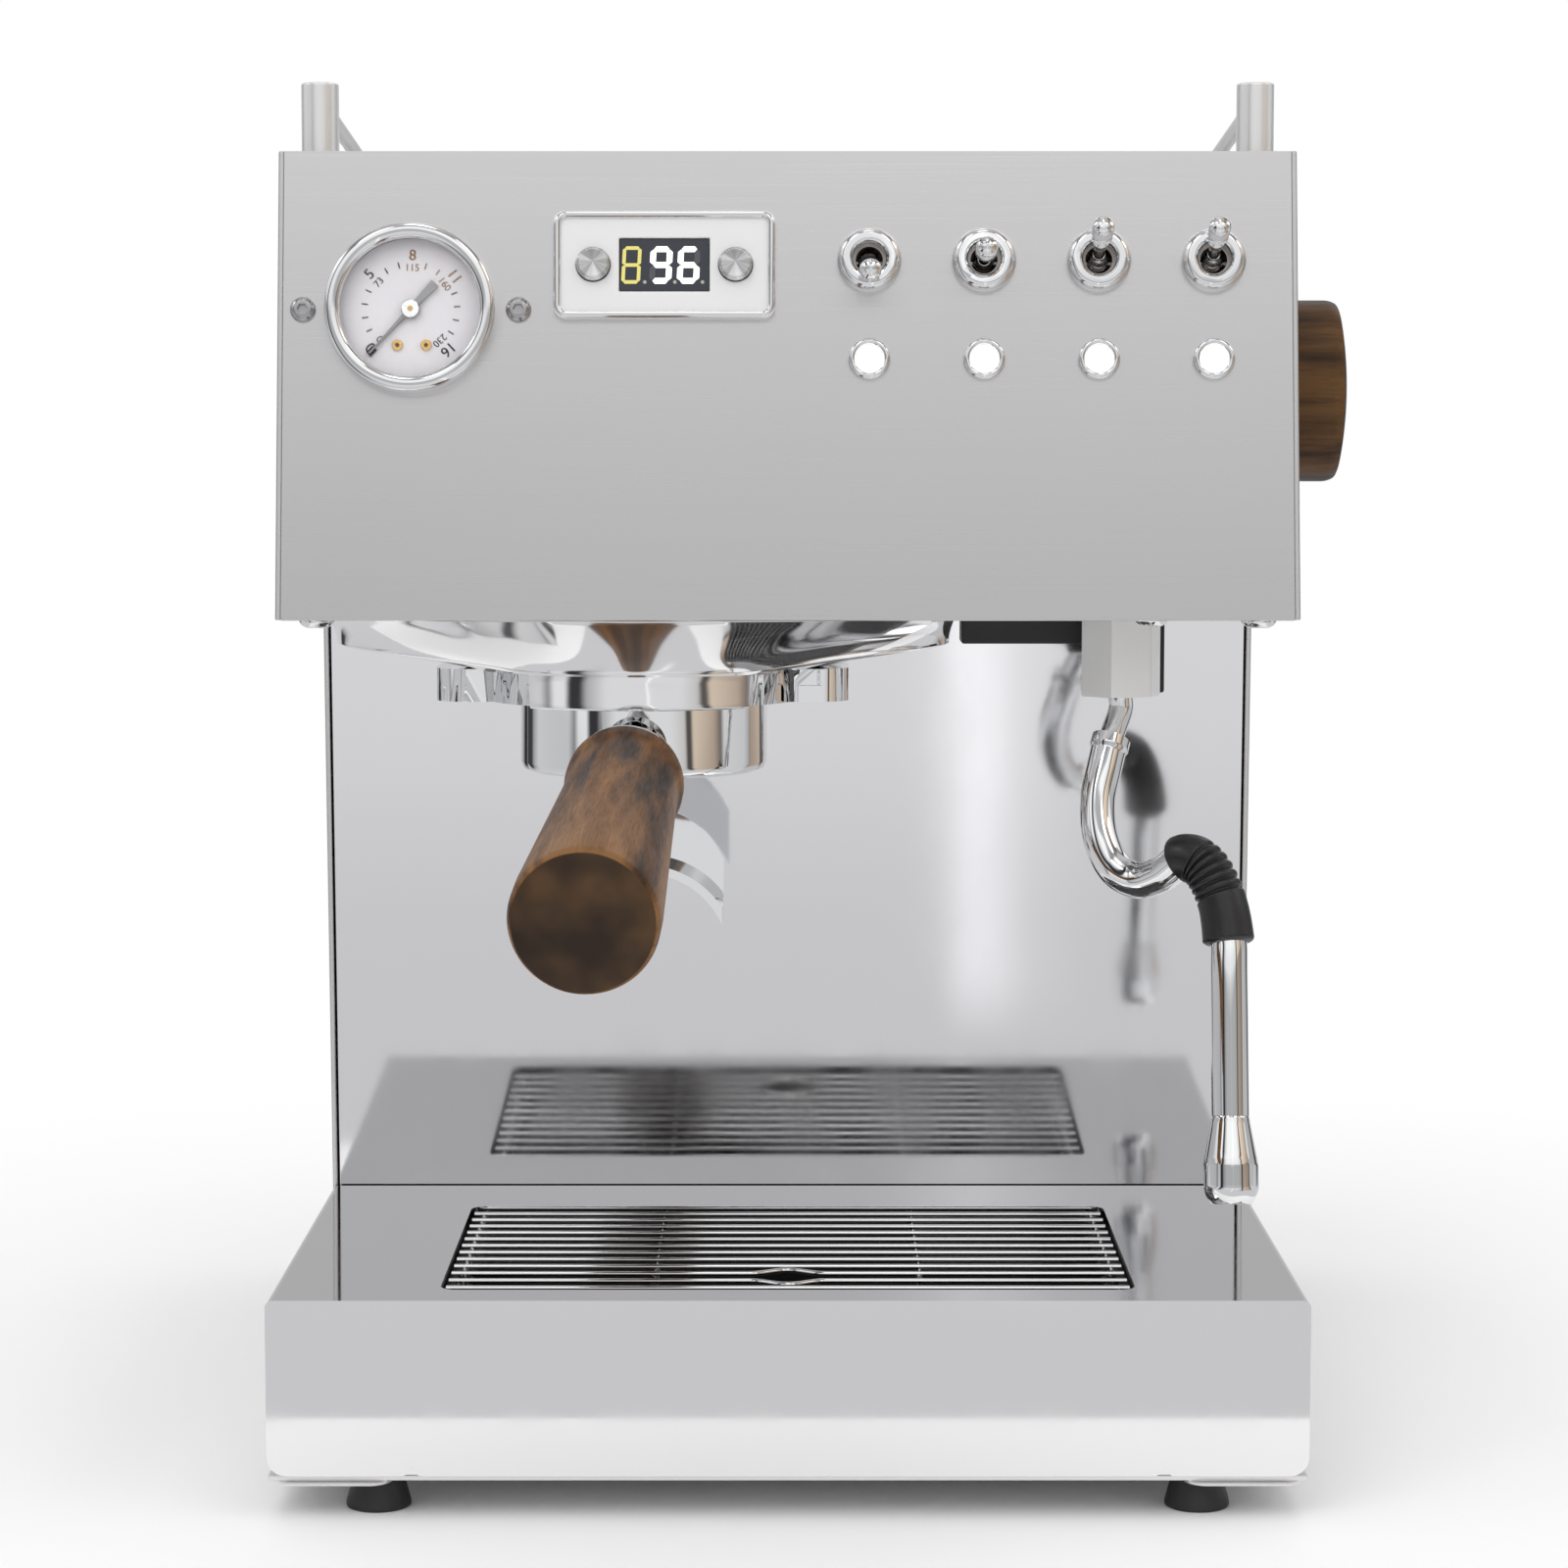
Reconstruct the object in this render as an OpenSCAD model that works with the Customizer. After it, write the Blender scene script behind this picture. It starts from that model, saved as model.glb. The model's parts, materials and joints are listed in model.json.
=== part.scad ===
// Single-group espresso machine with two thermoblocks, a folded steel body and walnut grips.
// x runs to the right, y from the front to the rear, z up from the counter.

/* [Body] */
// Width over the two side panels
body_w = 270; // [250:1:290]
// Depth from the drip tray's front to the rear panel
body_d = 315; // [308:1:335]
// Height of the top panel above the counter
body_h = 355; // [345:1:370]
// Thickness of the folded steel sheet
sheet_t = 1.5; // [1.2:0.1:1.8]
// Height of the head's underside above the counter
head_z = 231.5; // [228:0.5:240]
// How far the head's lower front edge sits behind the tray's front
head_y = 37; // [30:1:44]
// Angle that the head's front leans back
head_lean = 8.8; // [4:0.2:11]
// How far the splash panel's foot sits behind the tray's front
splash_y = 155; // [150:1:160]
// Angle that the splash panel leans forward
splash_lean = 3; // [0:0.1:3.4]
// Angle that the column's front edges lean forward
column_lean = 3; // [0:0.1:3.4]

/* [Base] */
// Height of the rubber feet
foot_h = 8.6; // [7:0.2:12]
// Radius of a foot where it stands
foot_r = 8.5; // [7:0.1:10]
// Radius of a foot under the pan
foot_top_r = 6.9; // [5:0.1:8]
// Distance of a foot's axis from the body's side
foot_inset_x = 27.5; // [20:0.5:34]
// Distance of a foot's axis from the front and from the rear
foot_inset_y = 15; // [12:0.5:22]
// Width of the pan's two side runners
runner_w = 31; // [26:1:40]
// Thickness of the pan's side runners
runner_t = 1; // [0.8:0.1:1.5]

/* [Drip tray] */
// Height of the tray's front
tray_h = 46.2; // [42:0.2:50]
// Radius of the front's upper corners
tray_top_r = 2; // [1:0.1:4]
// Radius of the front's lower corners
tray_low_r = 5; // [3:0.1:8]
// Distance of the two relief notches from the middle
notch_x = 97.5; // [80:0.5:110]
// Width of the opening for the grate
well_w = 182; // [170:1:190]
// Depth of the opening for the grate
well_d = 110; // [104:1:114]
// Distance of the opening from the tray's front
well_y = 13; // [11:0.5:16]
// Corner radius of the opening
well_r = 4.5; // [3:0.5:8]
// Wall of the basin under the grate
basin_t = 2; // [1.5:0.1:3]
// How far the basin's ledge lies under the deck
ledge_drop = 4.6; // [4.4:0.1:7]
// Diameter of the grate's long wires
wire_d = 1.5; // [1.2:0.1:2.2]
// Diameter of the grate's cross wires
cross_d = 2.4; // [2:0.1:2.5]
// Distance from one long wire to the next
wire_pitch = 8.8; // [7.8:0.05:8.9]
// Number of long wires
wire_count = 12; // [10:1:12]
// Distance of the two middle cross wires from the middle
cross_x = 35.4; // [30:0.1:42]
// Half the length of the finger eye
eye_half = 10; // [8:0.5:14]
// How far each of its two wires bows out
eye_bow = 4.4; // [3:0.1:5]

/* [Group] */
// Distance of the group's axis left of the middle
group_left = 40; // [34:1:42]
// Distance of the group's axis behind the tray's front
group_y = 96; // [94:1:100]
// Half the width of the bell's flange
bell_rx = 87; // [80:1:90]
// Reach of the bell's flange in front of the group's axis
bell_ry = 57; // [54:1:58]
// Reach of the bell's flange behind the group's axis
bell_rear = 48; // [47:0.5:48.5]
// Thickness of the bell's flange
bell_lip = 9.5; // [8:0.5:11]
// Radius of the bell's barrel
barrel_r = 46.6; // [46:0.1:49]
// Height of the bell from its flange to the foot of its apron
bell_h = 25; // [24.6:0.1:26]
// Half the width of the bell's front apron
apron_half = 30; // [24:1:34]
// Radius of the bayonet crown
crown_r = 44; // [43.5:0.1:45.5]
// Height of the bayonet crown
crown_h = 9; // [8.8:0.1:10]
// Distance of the crown's top below the bell's top
crown_drop = 15.5; // [15.2:0.1:16]
// Reach of the crown's ears from the group's axis
ear_reach = 57; // [54:0.5:62]
// Half the depth of the crown's ears
ear_half = 17; // [14:0.5:20]
// Outer radius of the group gasket
gasket_r = 36; // [35.5:0.1:36.4]
// Inner radius of the group gasket
gasket_bore_r = 28.5; // [28.2:0.1:29]
// Height of the group gasket
gasket_h = 8; // [7:0.1:8.5]

/* [Portafilter] */
// Radius of the bowl below its rim
bowl_r = 34.5; // [33.5:0.1:35]
// Radius of the bowl's rim
rim_r = 36; // [35.5:0.1:36.2]
// Distance from the bowl's foot to its rim
bowl_h = 26.2; // [24:0.2:30]
// Wall under the filter basket
bowl_wall = 3; // [2.5:0.1:4]
// Inner radius of the filter basket
basket_r = 29; // [28.8:0.1:29.4]
// Depth of the filter basket
basket_depth = 19; // [16:0.5:20]
// Wall of the filter basket
basket_t = 0.8; // [0.6:0.1:1]
// Thickness of the two bayonet lugs
lug_t = 3.2; // [2.6:0.1:3.3]
// Angle that each lug spans
lug_span = 36; // [30:1:40]
// Angle that the handle points left of straight ahead when locked
rest_turn = 2; // [0:0.5:5]
// Angle from locked to the entry position
unlock_turn = 50; // [46:1:55]
// Angle that the handle slopes down
handle_slope = 9; // [5:0.5:12]
// Distance of the handle's collar from the group's axis
collar_reach = 73; // [68:1:80]
// Distance of the handle's end from the group's axis
handle_reach = 205.6; // [190:0.2:220]
// Radius of the handle at its collar
handle_r = 15.5; // [14:0.1:17]
// Radius of the handle at its end
handle_end_r = 17.8; // [16:0.1:19]
// Radius of the handle's domed end
dome_r = 60; // [50:1:90]
// Radius of the arm under the handle
arm_r = 8; // [7:0.1:9]
// Radius of the spout's upper curve
spout_r = 23.5; // [23:0.1:26]
// Half the width of the spout from tip to tip
spout_half = 22; // [20:0.1:22.4]
// Depth of the spout's channel
spout_d = 14; // [11:0.5:16]
// Wall of the spout
spout_t = 1.8; // [1.4:0.1:2.4]

/* [Front panel fittings] */
// Outer radius of the gauge's bezel
gauge_r = 22.5; // [21.5:0.1:23]
// Radius of the gauge's housing behind the panel
gauge_case_r = 20.4; // [19.8:0.1:20.8]
// Depth of the gauge's housing behind the panel's face
gauge_depth = 28; // [22:1:30]
// Distance of the gauge's axis from the body's left side
gauge_x = 35.3; // [32:0.1:38]
// Distance of the gauge's axis below the panel's upper edge
gauge_down = 42.5; // [39:0.5:46]
// Width of the display frame
display_w = 58.5; // [56:0.5:62]
// Height of the display frame
display_h = 28.6; // [26:0.2:31]
// Width of the display window
window_w = 23.9; // [20:0.1:25]
// Height of the display window
window_h = 14.2; // [12:0.1:16]
// Distance of the display's middle left of the body's middle
display_left = 32.6; // [31:0.2:34]
// Distance of the display's middle below the panel's upper edge
display_down = 30.9; // [27:0.1:33]
// Distance of a set button from the display's middle
button_dx = 18.8; // [18:0.1:20]
// Radius of a set button
button_r = 4.4; // [4:0.1:4.8]
// Travel of a set button
button_travel = 1; // [0.6:0.1:1]
// Distance of the right-hand switch from the body's right side
switch_inset = 22.4; // [20:0.2:26]
// Distance from one switch to the next
switch_pitch = 30.35; // [26:0.1:31]
// Distance of the switches below the panel's upper edge
switch_down = 29.4; // [26:0.2:35]
// Outer radius of a switch's ring
ring_r = 8.5; // [8:0.1:9]
// Height of a switch's ring
ring_h = 4.6; // [4:0.1:5]
// Angle that a switch lever leans either way
lever_tilt = 15; // [10:0.5:15]
// Length of a switch lever in front of the panel
lever_l = 20; // [18:0.5:22]
// Distance of the lamps below the panel's upper edge
lamp_down = 55.7; // [51:0.1:62]
// Outer radius of a lamp's bezel
lamp_r = 5.5; // [5:0.1:6]

/* [Steam side] */
// Radius of the steam knob
knob_r = 25; // [22:0.5:27]
// Thickness of the steam knob
knob_t = 18; // [15:0.5:21]
// Distance of the steam knob's axis behind the tray's front
knob_y = 100; // [96:1:106]
// Height of the steam knob's axis
knob_z = 292; // [286:1:298]
// Radius of the steam spindle
spindle_r = 4; // [3:0.1:4.4]
// Distance of the wand's axis right of the middle
wand_x = 91; // [88:1:93]
// Distance of the wand's axis behind the tray's front
wand_y = 75; // [72:1:78]
// Width of the wand's holder across its flats
holder_af = 19.5; // [18:0.1:21]
// Height of the wand's holder
holder_h = 22.5; // [20:0.5:24]
// Radius of the wand's neck
neck_r = 3.8; // [3:0.1:4]
// Radius of the wand's tube
tube_r = 4.9; // [4.4:0.1:5]
// Wall of the wand's rubber grip
grip_t = 1.5; // [1.2:0.1:2]

/* [Water tank] */
// Width of the water tank
tank_w = 120; // [100:1:150]
// Depth of the water tank
tank_d = 64; // [58:1:66]
// Wall of the water tank
tank_t = 2.2; // [2:0.1:3]
// Distance of the tank from the rear panel
tank_gap = 5.5; // [5:0.1:7]
// Play between the tank and its opening
tank_play = 2; // [1.5:0.1:2.5]
// Height of the tank's dock above the pan
dock_h = 19; // [16:0.5:24]
// Thickness of the tank's lid
lid_t = 3.8; // [3.4:0.1:4.4]

/* [Cup rail] */
// Radius of a rail post
post_r = 5; // [4:0.1:6]
// Height of a rail post above the top panel
post_h = 18.6; // [15:0.2:24]
// Distance of a post's axis from the body's side
post_inset = 10; // [8:0.5:14]
// Distance of the posts behind the head's upper front edge
post_setback = 10; // [9:0.5:14]
// Radius of a rail rod
rod_r = 2; // [1.5:0.1:2.5]
// Distance from a post to its rod's foot
rod_run = 154; // [130:1:160]

/* [Hidden] */
$fn = 64;

move_gap = 0.3;     // between two pieces that move past each other
run_gap = 0.05;     // round a shaft in its bearing
slip_gap = 0.1;     // round a piece that only drops into its hole
tray_play = 0.5;    // under and behind the drip tray
eps = 0.01;         // how far a cutter passes its face

// levels
runner_z = foot_h;
pan_z = runner_z + runner_t;
pan_top = pan_z + sheet_t;
tray_z = pan_top + tray_play;
deck_z = tray_z + tray_h;
tray_d = splash_y - 2.4 * tray_play;
side_x = body_w / 2;
inner_x = side_x - sheet_t;

// head
fascia_l = (body_h - head_z) / cos(head_lean);
head_top_y = head_y + (body_h - head_z) * tan(head_lean);
fascia_run = sheet_t / cos(head_lean);
function fascia_back_y(z) = head_y + (z - head_z) * tan(head_lean) + fascia_run;
function splash_front_y(z) = splash_y - max(0, z - deck_z) * tan(splash_lean);
column_top_y = splash_y - (head_z - deck_z) * tan(column_lean);
head_floor = head_z + sheet_t;
head_ceiling = body_h - sheet_t;
inside_d = body_d - sheet_t;
head_room = body_h - head_z;

// group
group_x = -group_left;
crown_top = head_z - crown_drop;
crown_z = crown_top - crown_h;
bell_foot = head_z - bell_h;
crown_bore_r = gasket_r + 0.5;
lip_t = 3;
groove_z = crown_z + lip_t;
groove_h = lug_t + 0.5;
lug_z = groove_z + 0.2;
lug_r = crown_r - 1.3;
groove_r = lug_r + 0.5;
rim_z = groove_z + groove_h - 0.5;
basket_lip_t = 1;
gasket_z = rim_z + basket_lip_t + move_gap;
bowl_z = rim_z - bowl_h;
arm_z = bowl_z + 14;
pocket_z = gasket_z + gasket_h;
spigot_r = 29.9;
screen_r = gasket_bore_r - 0.7;
screen_t = 1.5;
drain_r = 4;
tang_r = 4;
tang_l = 60;

// front panel fittings
gauge_up = fascia_l - gauge_down;
display_up = fascia_l - display_down;
switch_up = fascia_l - switch_down;
lamp_up = fascia_l - lamp_down;
gauge_cx = gauge_x - side_x;
display_x = -display_left;
switch_xs = [for (i = [3:-1:0]) side_x - switch_inset - i * switch_pitch];
glass_r = gauge_case_r - 1.3;
fascia_screw_dx = 28.5;
case_front = 3;
dial_t = 0.5;
dial_z = -0.5;
needle_t = 0.8;
pin_r = 0.75;
needle_z = dial_z + dial_t + 0.5;
pivot_back = 4;
lever_pin_r = 0.9;
neck_hole_r = 6;
module_w = display_w - 8.5;
module_h = display_h - 6.6;
frame_t = 2.5;
stem_r = 2;
lamp_body_r = 3.6;
lamp_hole_r = 4.2;

// steam side
knob_gap = 1.2;
knob_face_x = side_x + knob_gap + knob_t;
hex_r = holder_af / 2 / cos(30);
holder_z = head_z - holder_h;
valve_l = 36;
valve_port_in = 24;
valve_port_l = 20;
spindle_in = 28;

// tank
tank_y = inside_d - tank_gap - tank_d;
tank_z = pan_top + dock_h;
tank_top = body_h - lid_t - 1;
lid_z = tank_top + move_gap;
hinge_y = tank_y + tank_d - 5;
hinge_z = lid_z + lid_t / 2;
hinge_r = 1.2;
ear_t = 3;
lid_w = tank_w - 2 * ear_t - 2;
nipple_r = 6;
nipple_h = 10;

// water path
boiler_r = 31;
boiler_h = 0.38 * (head_ceiling - head_floor);
boiler_flange_t = 6;
nipple_dx = 12;
boiler_top = head_floor + boiler_h + 8;
steam_x = 42;
steam_y = splash_y - 7;
steam_stand = 16;
steam_h = 0.49 * (head_ceiling - head_floor);
steam_top = head_floor + steam_stand + steam_h + 6;
solenoid_x = -side_x + 30;
solenoid_y = 124;
solenoid_top = head_floor + 47;
pump_x = -20;
pump_y = (splash_y + tank_y) / 2 + 2;
pump_stand = 17;
pump_coil = 44;
pump_z = pan_top + pump_stand + pump_coil / 2;
pump_reach = 56;
pump_coil_l = 52;
pump_body_r = 14;
pump_body_l = 90;
pump_mount_dx = 16;
board_stand = 8;
board_t = 1.6;
board_d = 60;
board_h = 100;
board_y = pump_y - 29.5;
board_z = 100;
hose_r = 3;

// rear
inlet_x = 95;
inlet_z = 42;
inlet_w = 50;
inlet_h = 24;
inlet_t = 3;

// where the middle of the whole machine's box lies
rear_y = body_d + inlet_t;
dome_y = group_y - (handle_reach - dome_r) * cos(handle_slope) * cos(rest_turn) - dome_r;
mid_x = (knob_face_x - side_x) / 2;
mid_y = (rear_y + dome_y) / 2;

// colours
steel = [0.78, 0.78, 0.78];
bright = [0.86, 0.87, 0.88];
chrome = [0.9, 0.9, 0.92];
black = [0.08, 0.08, 0.09];
walnut = [0.4, 0.27, 0.17];
brass = [0.78, 0.62, 0.35];
white = [0.95, 0.95, 0.93];

// ---------- frames and shared shapes ----------

module place() translate([-mid_x, -mid_y, 0]) children();

// x right, y up the leaning front panel, z out of it
module on_fascia(x, up) {
    translate([x, head_y, head_z])
        rotate([-head_lean, 0, 0])
            translate([0, 0, up])
                rotate([90, 0, 0])
                    children();
}

// flat outline in y and z, thick along x from x0
module along_x(x0, length) translate([x0, 0, 0]) rotate([90, 0, 90]) linear_extrude(length) children();

// flat outline in x and z, thick along y from y0
module along_y(y0, length) {
    translate([0, y0 + length, 0]) rotate([90, 0, 0]) linear_extrude(length) children();
}

module at_group(z = 0) translate([group_x, group_y, z]) children();

// x right, y forward, z down the handle
module on_arm(reach) {
    at_group(arm_z)
        rotate([0, 0, -rest_turn])
            rotate([90 + handle_slope, 0, 0])
                translate([0, 0, reach])
                    children();
}

// rectangle about the origin with round corners
module round_rect(w, h, r) {
    square([w - 2 * r, h], center = true);
    square([w, h - 2 * r], center = true);
    for (sx = [-1, 1], sy = [-1, 1])
        translate([sx * (w / 2 - r), sy * (h / 2 - r)])
            circle(r);
}

// upright outline with its own lower and upper corner radii, standing on y = 0
module front_outline(w, h, low_r, top_r) {
    translate([-w / 2, low_r]) square([w, h - low_r - top_r]);
    translate([-w / 2 + low_r, 0]) square([w - 2 * low_r, h / 2]);
    translate([-w / 2 + top_r, h / 2]) square([w - 2 * top_r, h / 2]);
    for (s = [-1, 1]) {
        translate([s * (w / 2 - low_r), low_r]) circle(low_r);
        translate([s * (w / 2 - top_r), h - top_r]) circle(top_r);
    }
}

module slot(l, w) {
    square([l - w, w], center = true);
    for (s = [-1, 1]) translate([s * (l - w) / 2, 0]) circle(w / 2, $fn = 24);
}

module ring(r_out, r_in, h) {
    difference() {
        cylinder(r = r_out, h = h);
        translate([0, 0, -eps]) cylinder(r = r_in, h = h + 2 * eps);
    }
}

// domed screw head with a hexagon socket, standing on z = 0
module button_screw(head_r, head_h, shank_r, shank_l) {
    difference() {
        rotate_extrude() polygon([
            [0, 0], [head_r, 0], [head_r, head_h * 0.35], [head_r * 0.85, head_h * 0.75],
            [head_r * 0.6, head_h], [0, head_h]
        ]);
        translate([0, 0, head_h * 0.4]) cylinder(r = head_r * 0.42, h = head_h, $fn = 6);
    }
    translate([0, 0, -shank_l]) cylinder(r = shank_r, h = shank_l + eps);
}

// pie slice of a given span centred on +x
module wedge(r, span, h) rotate([0, 0, -span / 2]) rotate_extrude(angle = span) square([r, h]);

// ---------- sweeping along a curve ----------

function unit(v) = v / norm(v);
function blend4(a, b, c, d, t) =
    0.5 * (2 * b + (c - a) * t + (2 * a - 5 * b + 4 * c - d) * t * t
    + (3 * b - a - 3 * c + d) * t * t * t);
function point_at(pts, i) = pts[max(0, min(len(pts) - 1, i))];
// smooth curve through the points, with the given number of steps in each span
function smooth(pts, steps) = concat(
    [for (i = [0:len(pts) - 2], k = [0:steps - 1])
        blend4(point_at(pts, i - 1), pts[i], pts[i + 1], point_at(pts, i + 2), k / steps)],
    [pts[len(pts) - 1]]);
function tangent(path, i) = unit(path[min(len(path) - 1, i + 1)] - path[max(0, i - 1)]);
function circle_points(c, t, r, sides, ref = [0, 1, 0]) =
    let (u = unit(cross(t, ref)), v = cross(u, t))
    [for (k = [0:sides - 1]) c + r * (cos(360 * k / sides) * u + sin(360 * k / sides) * v)];
function band_faces(rings, sides, first) = [
    for (i = [0:rings - 2], k = [0:sides - 1])
        let (a = first + i * sides, b = a + sides, n = (k + 1) % sides)
            each [[a + k, a + n, b + n], [a + k, b + n, b + k]]
];

// solid rod, with one radius for each point of the path
module rod_sweep(path, radii, sides, ref = [0, 1, 0]) {
    rings = len(path);
    points = [for (i = [0:rings - 1]) each circle_points(path[i], tangent(path, i), radii[i], sides, ref)];
    last = (rings - 1) * sides;
    polyhedron(points, concat(
        band_faces(rings, sides, 0),
        [[for (k = [sides - 1:-1:0]) k], [for (k = [0:sides - 1]) last + k]]));
}

// sleeve over a rod, with its own outer radii
module sleeve_sweep(path, radii, bore_r, sides) {
    rings = len(path);
    outer = [for (i = [0:rings - 1]) each circle_points(path[i], tangent(path, i), radii[i], sides)];
    inner = [for (i = [0:rings - 1]) each circle_points(path[i], tangent(path, i), bore_r, sides)];
    half = rings * sides;
    last = (rings - 1) * sides;
    polyhedron(concat(outer, inner), concat(
        band_faces(rings, sides, 0),
        [for (f = band_faces(rings, sides, half)) [f[2], f[1], f[0]]],
        [for (k = [0:sides - 1]) let (n = (k + 1) % sides) each [[k, half + k, half + n], [k, half + n, n]]],
        [for (k = [0:sides - 1]) let (n = (k + 1) % sides)
            each [[last + k, last + n, last + half + n], [last + k, last + half + n, last + half + k]]]));
}

// ---------- base and body ----------

module chassis_pan() {
    color(steel) {
        translate([-side_x, 2 * sheet_t, pan_z]) cube([body_w, body_d - 2 * sheet_t, sheet_t]);
        for (s = [-1, 1])
            translate([s * (side_x - 1 - runner_w / 2), body_d / 2, runner_z])
                linear_extrude(runner_t)
                    round_rect(runner_w, body_d - 2, 6);
    }
}

module rubber_feet() {
    color(black)
        for (s = [-1, 1], y = [foot_inset_y, body_d - foot_inset_y])
            translate([s * (side_x - foot_inset_x), y, 0])
                rotate_extrude() polygon([
                    [0, 0], [foot_r, 0], [foot_r, 1.2], [foot_top_r, foot_h - 1], [foot_top_r, foot_h],
                    [0, foot_h]
                ]);
}

module side_outline() {
    polygon([
        [splash_y, pan_top], [splash_y, deck_z], [column_top_y, head_z], [head_y, head_z],
        [head_top_y, body_h], [body_d, body_h], [body_d, pan_top]
    ]);
}

module side_panel_left() color(steel) along_x(-side_x, sheet_t) side_outline();

module side_panel_right() {
    color(steel)
        difference() {
            along_x(inner_x, sheet_t) side_outline();
            translate([inner_x - eps, knob_y, knob_z])
                rotate([0, 90, 0])
                    cylinder(r = spindle_r + 0.5, h = sheet_t + 2 * eps);
        }
}

module through_fascia(x, up, r) {
    translate([x, up, -sheet_t - eps]) cylinder(r = r, h = sheet_t + 2 * eps);
}

module front_panel() {
    color(steel)
        on_fascia(0, 0)
            difference() {
                translate([-inner_x, 0, -sheet_t]) cube([2 * inner_x, fascia_l, sheet_t]);
                through_fascia(gauge_cx, gauge_up, gauge_case_r + slip_gap);
                for (s = [-1, 1]) through_fascia(gauge_cx + s * fascia_screw_dx, gauge_up, 1.6);
                for (x = switch_xs) {
                    through_fascia(x, switch_up, neck_hole_r);
                    through_fascia(x, lamp_up, lamp_hole_r);
                }
                translate([display_x, display_up, -sheet_t - eps])
                    linear_extrude(sheet_t + 2 * eps)
                        square([module_w + 2 * slip_gap, module_h + 2 * slip_gap], center = true);
            }
}

module backsplash() {
    top = head_floor + 10;
    color(bright)
        along_x(-inner_x + 0.6, 2 * inner_x - 1.2)
            polygon([
                [splash_y, pan_top], [splash_y, deck_z], [splash_front_y(top), top],
                [splash_front_y(top) + sheet_t, top], [splash_y + sheet_t, deck_z],
                [splash_y + sheet_t, pan_top]
            ]);
}

module head_underside() {
    color(steel)
        difference() {
            along_x(-inner_x, 2 * inner_x) polygon([
                [fascia_back_y(head_z), head_z], [splash_front_y(head_z), head_z],
                [splash_front_y(head_floor), head_floor], [fascia_back_y(head_floor), head_floor]
            ]);
            at_group(head_z - eps) cylinder(r = spigot_r + slip_gap, h = sheet_t + 2 * eps);
            translate([wand_x, wand_y, head_z - eps]) cylinder(r = 3, h = sheet_t + 2 * eps);
            for (p = underside_screw_places())
                translate([p[0], p[1], head_z - eps]) cylinder(r = 2.1, h = sheet_t + 2 * eps);
        }
}

module rear_panel() {
    color(steel)
        along_y(inside_d, sheet_t)
            difference() {
                translate([-inner_x, pan_top]) square([2 * inner_x, body_h - pan_top]);
                translate([inlet_x, inlet_z]) square([inlet_w - 20, inlet_h - 4], center = true);
                for (row = [0:1], i = [-4:4])
                    translate([i * 18, head_z + (0.2 + row * 0.39) * head_room]) rotate(90) slot(0.31 * head_room, 5);
            }
}

module cup_tray() {
    color(bright)
        difference() {
            along_x(-inner_x, 2 * inner_x) polygon([
                [fascia_back_y(head_ceiling), head_ceiling], [inside_d, head_ceiling], [inside_d, body_h],
                [fascia_back_y(body_h), body_h]
            ]);
            translate([0, tank_y + tank_d / 2, head_ceiling - eps])
                linear_extrude(sheet_t + 2 * eps)
                    square([tank_w + 2 * tank_play, tank_d + 2 * tank_play], center = true);
            for (i = [-5:5])
                translate([i * 12, (head_top_y + tank_y) / 2, head_ceiling - eps])
                    linear_extrude(sheet_t + 2 * eps)
                        rotate(90)
                            slot(60, 4);
        }
}

// ---------- cup rail ----------

module each_post() {
    for (s = [-1, 1])
        translate([s * (side_x - post_inset), head_top_y + post_setback, body_h])
            children();
}

module rail_posts() {
    color(steel)
        each_post() rotate_extrude() polygon([
            [0, 0], [post_r, 0], [post_r, post_h - 0.4], [post_r - 0.4, post_h], [0, post_h]
        ]);
}

module rail_rods() {
    rise = post_h - rod_r - 3;
    color(steel)
        each_post()
            difference() {
                translate([0, 0, rise])
                    rotate([-90 - atan(rise / rod_run), 0, 0])
                        cylinder(r = rod_r, h = norm([rise, rod_run]) + 10);
                cylinder(r = post_r, h = post_h);
                translate([-10, 0, -20]) cube([20, rod_run + 20, 20]);
            }
}

// ---------- screws ----------

module fascia_screws() {
    color(bright)
        for (s = [-1, 1])
            on_fascia(gauge_cx + s * fascia_screw_dx, gauge_up)
                button_screw(3.35, 2.2, 1.5, sheet_t + 4);
}

function underside_screw_places() = [
    [-side_x + 10, head_y + 9], [side_x - 10, head_y + 9], [side_x - 38, head_y + 16],
    [-side_x + 10, splash_front_y(head_z) - 9], [side_x - 10, splash_front_y(head_z) - 9]
];

module underside_screws() {
    color(bright)
        for (p = underside_screw_places())
            translate([p[0], p[1], head_z]) mirror([0, 0, 1]) button_screw(4.7, 2.4, 2, sheet_t + 3);
}

// ---------- group ----------

bell_sides = 72;
bell_steps = 10;

// flange outline, wide at the sides and flattened at the front and rear
function flange_r(a, grow) =
    let (reach = sin(a) > 0 ? bell_rear : bell_ry)
        pow(pow(abs(cos(a)) / (bell_rx + grow), 2.6) + pow(abs(sin(a)) / (reach + grow), 2.6), -1 / 2.6);
// radius of the flare, from the flange at s = 0 to the barrel at s = 1
function flare_r(a, s) = barrel_r + (flange_r(a, -2) - barrel_r) * pow(1 - s, 2.8);
function bell_ring(z, radii) = [
    for (k = [0:bell_sides - 1])
        [radii[k] * cos(360 * k / bell_sides), radii[k] * sin(360 * k / bell_sides), z]
];
function flange_radii(grow) = [for (k = [0:bell_sides - 1]) flange_r(360 * k / bell_sides, grow)];
function flare_radii(s) = [for (k = [0:bell_sides - 1]) flare_r(360 * k / bell_sides, s)];

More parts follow.
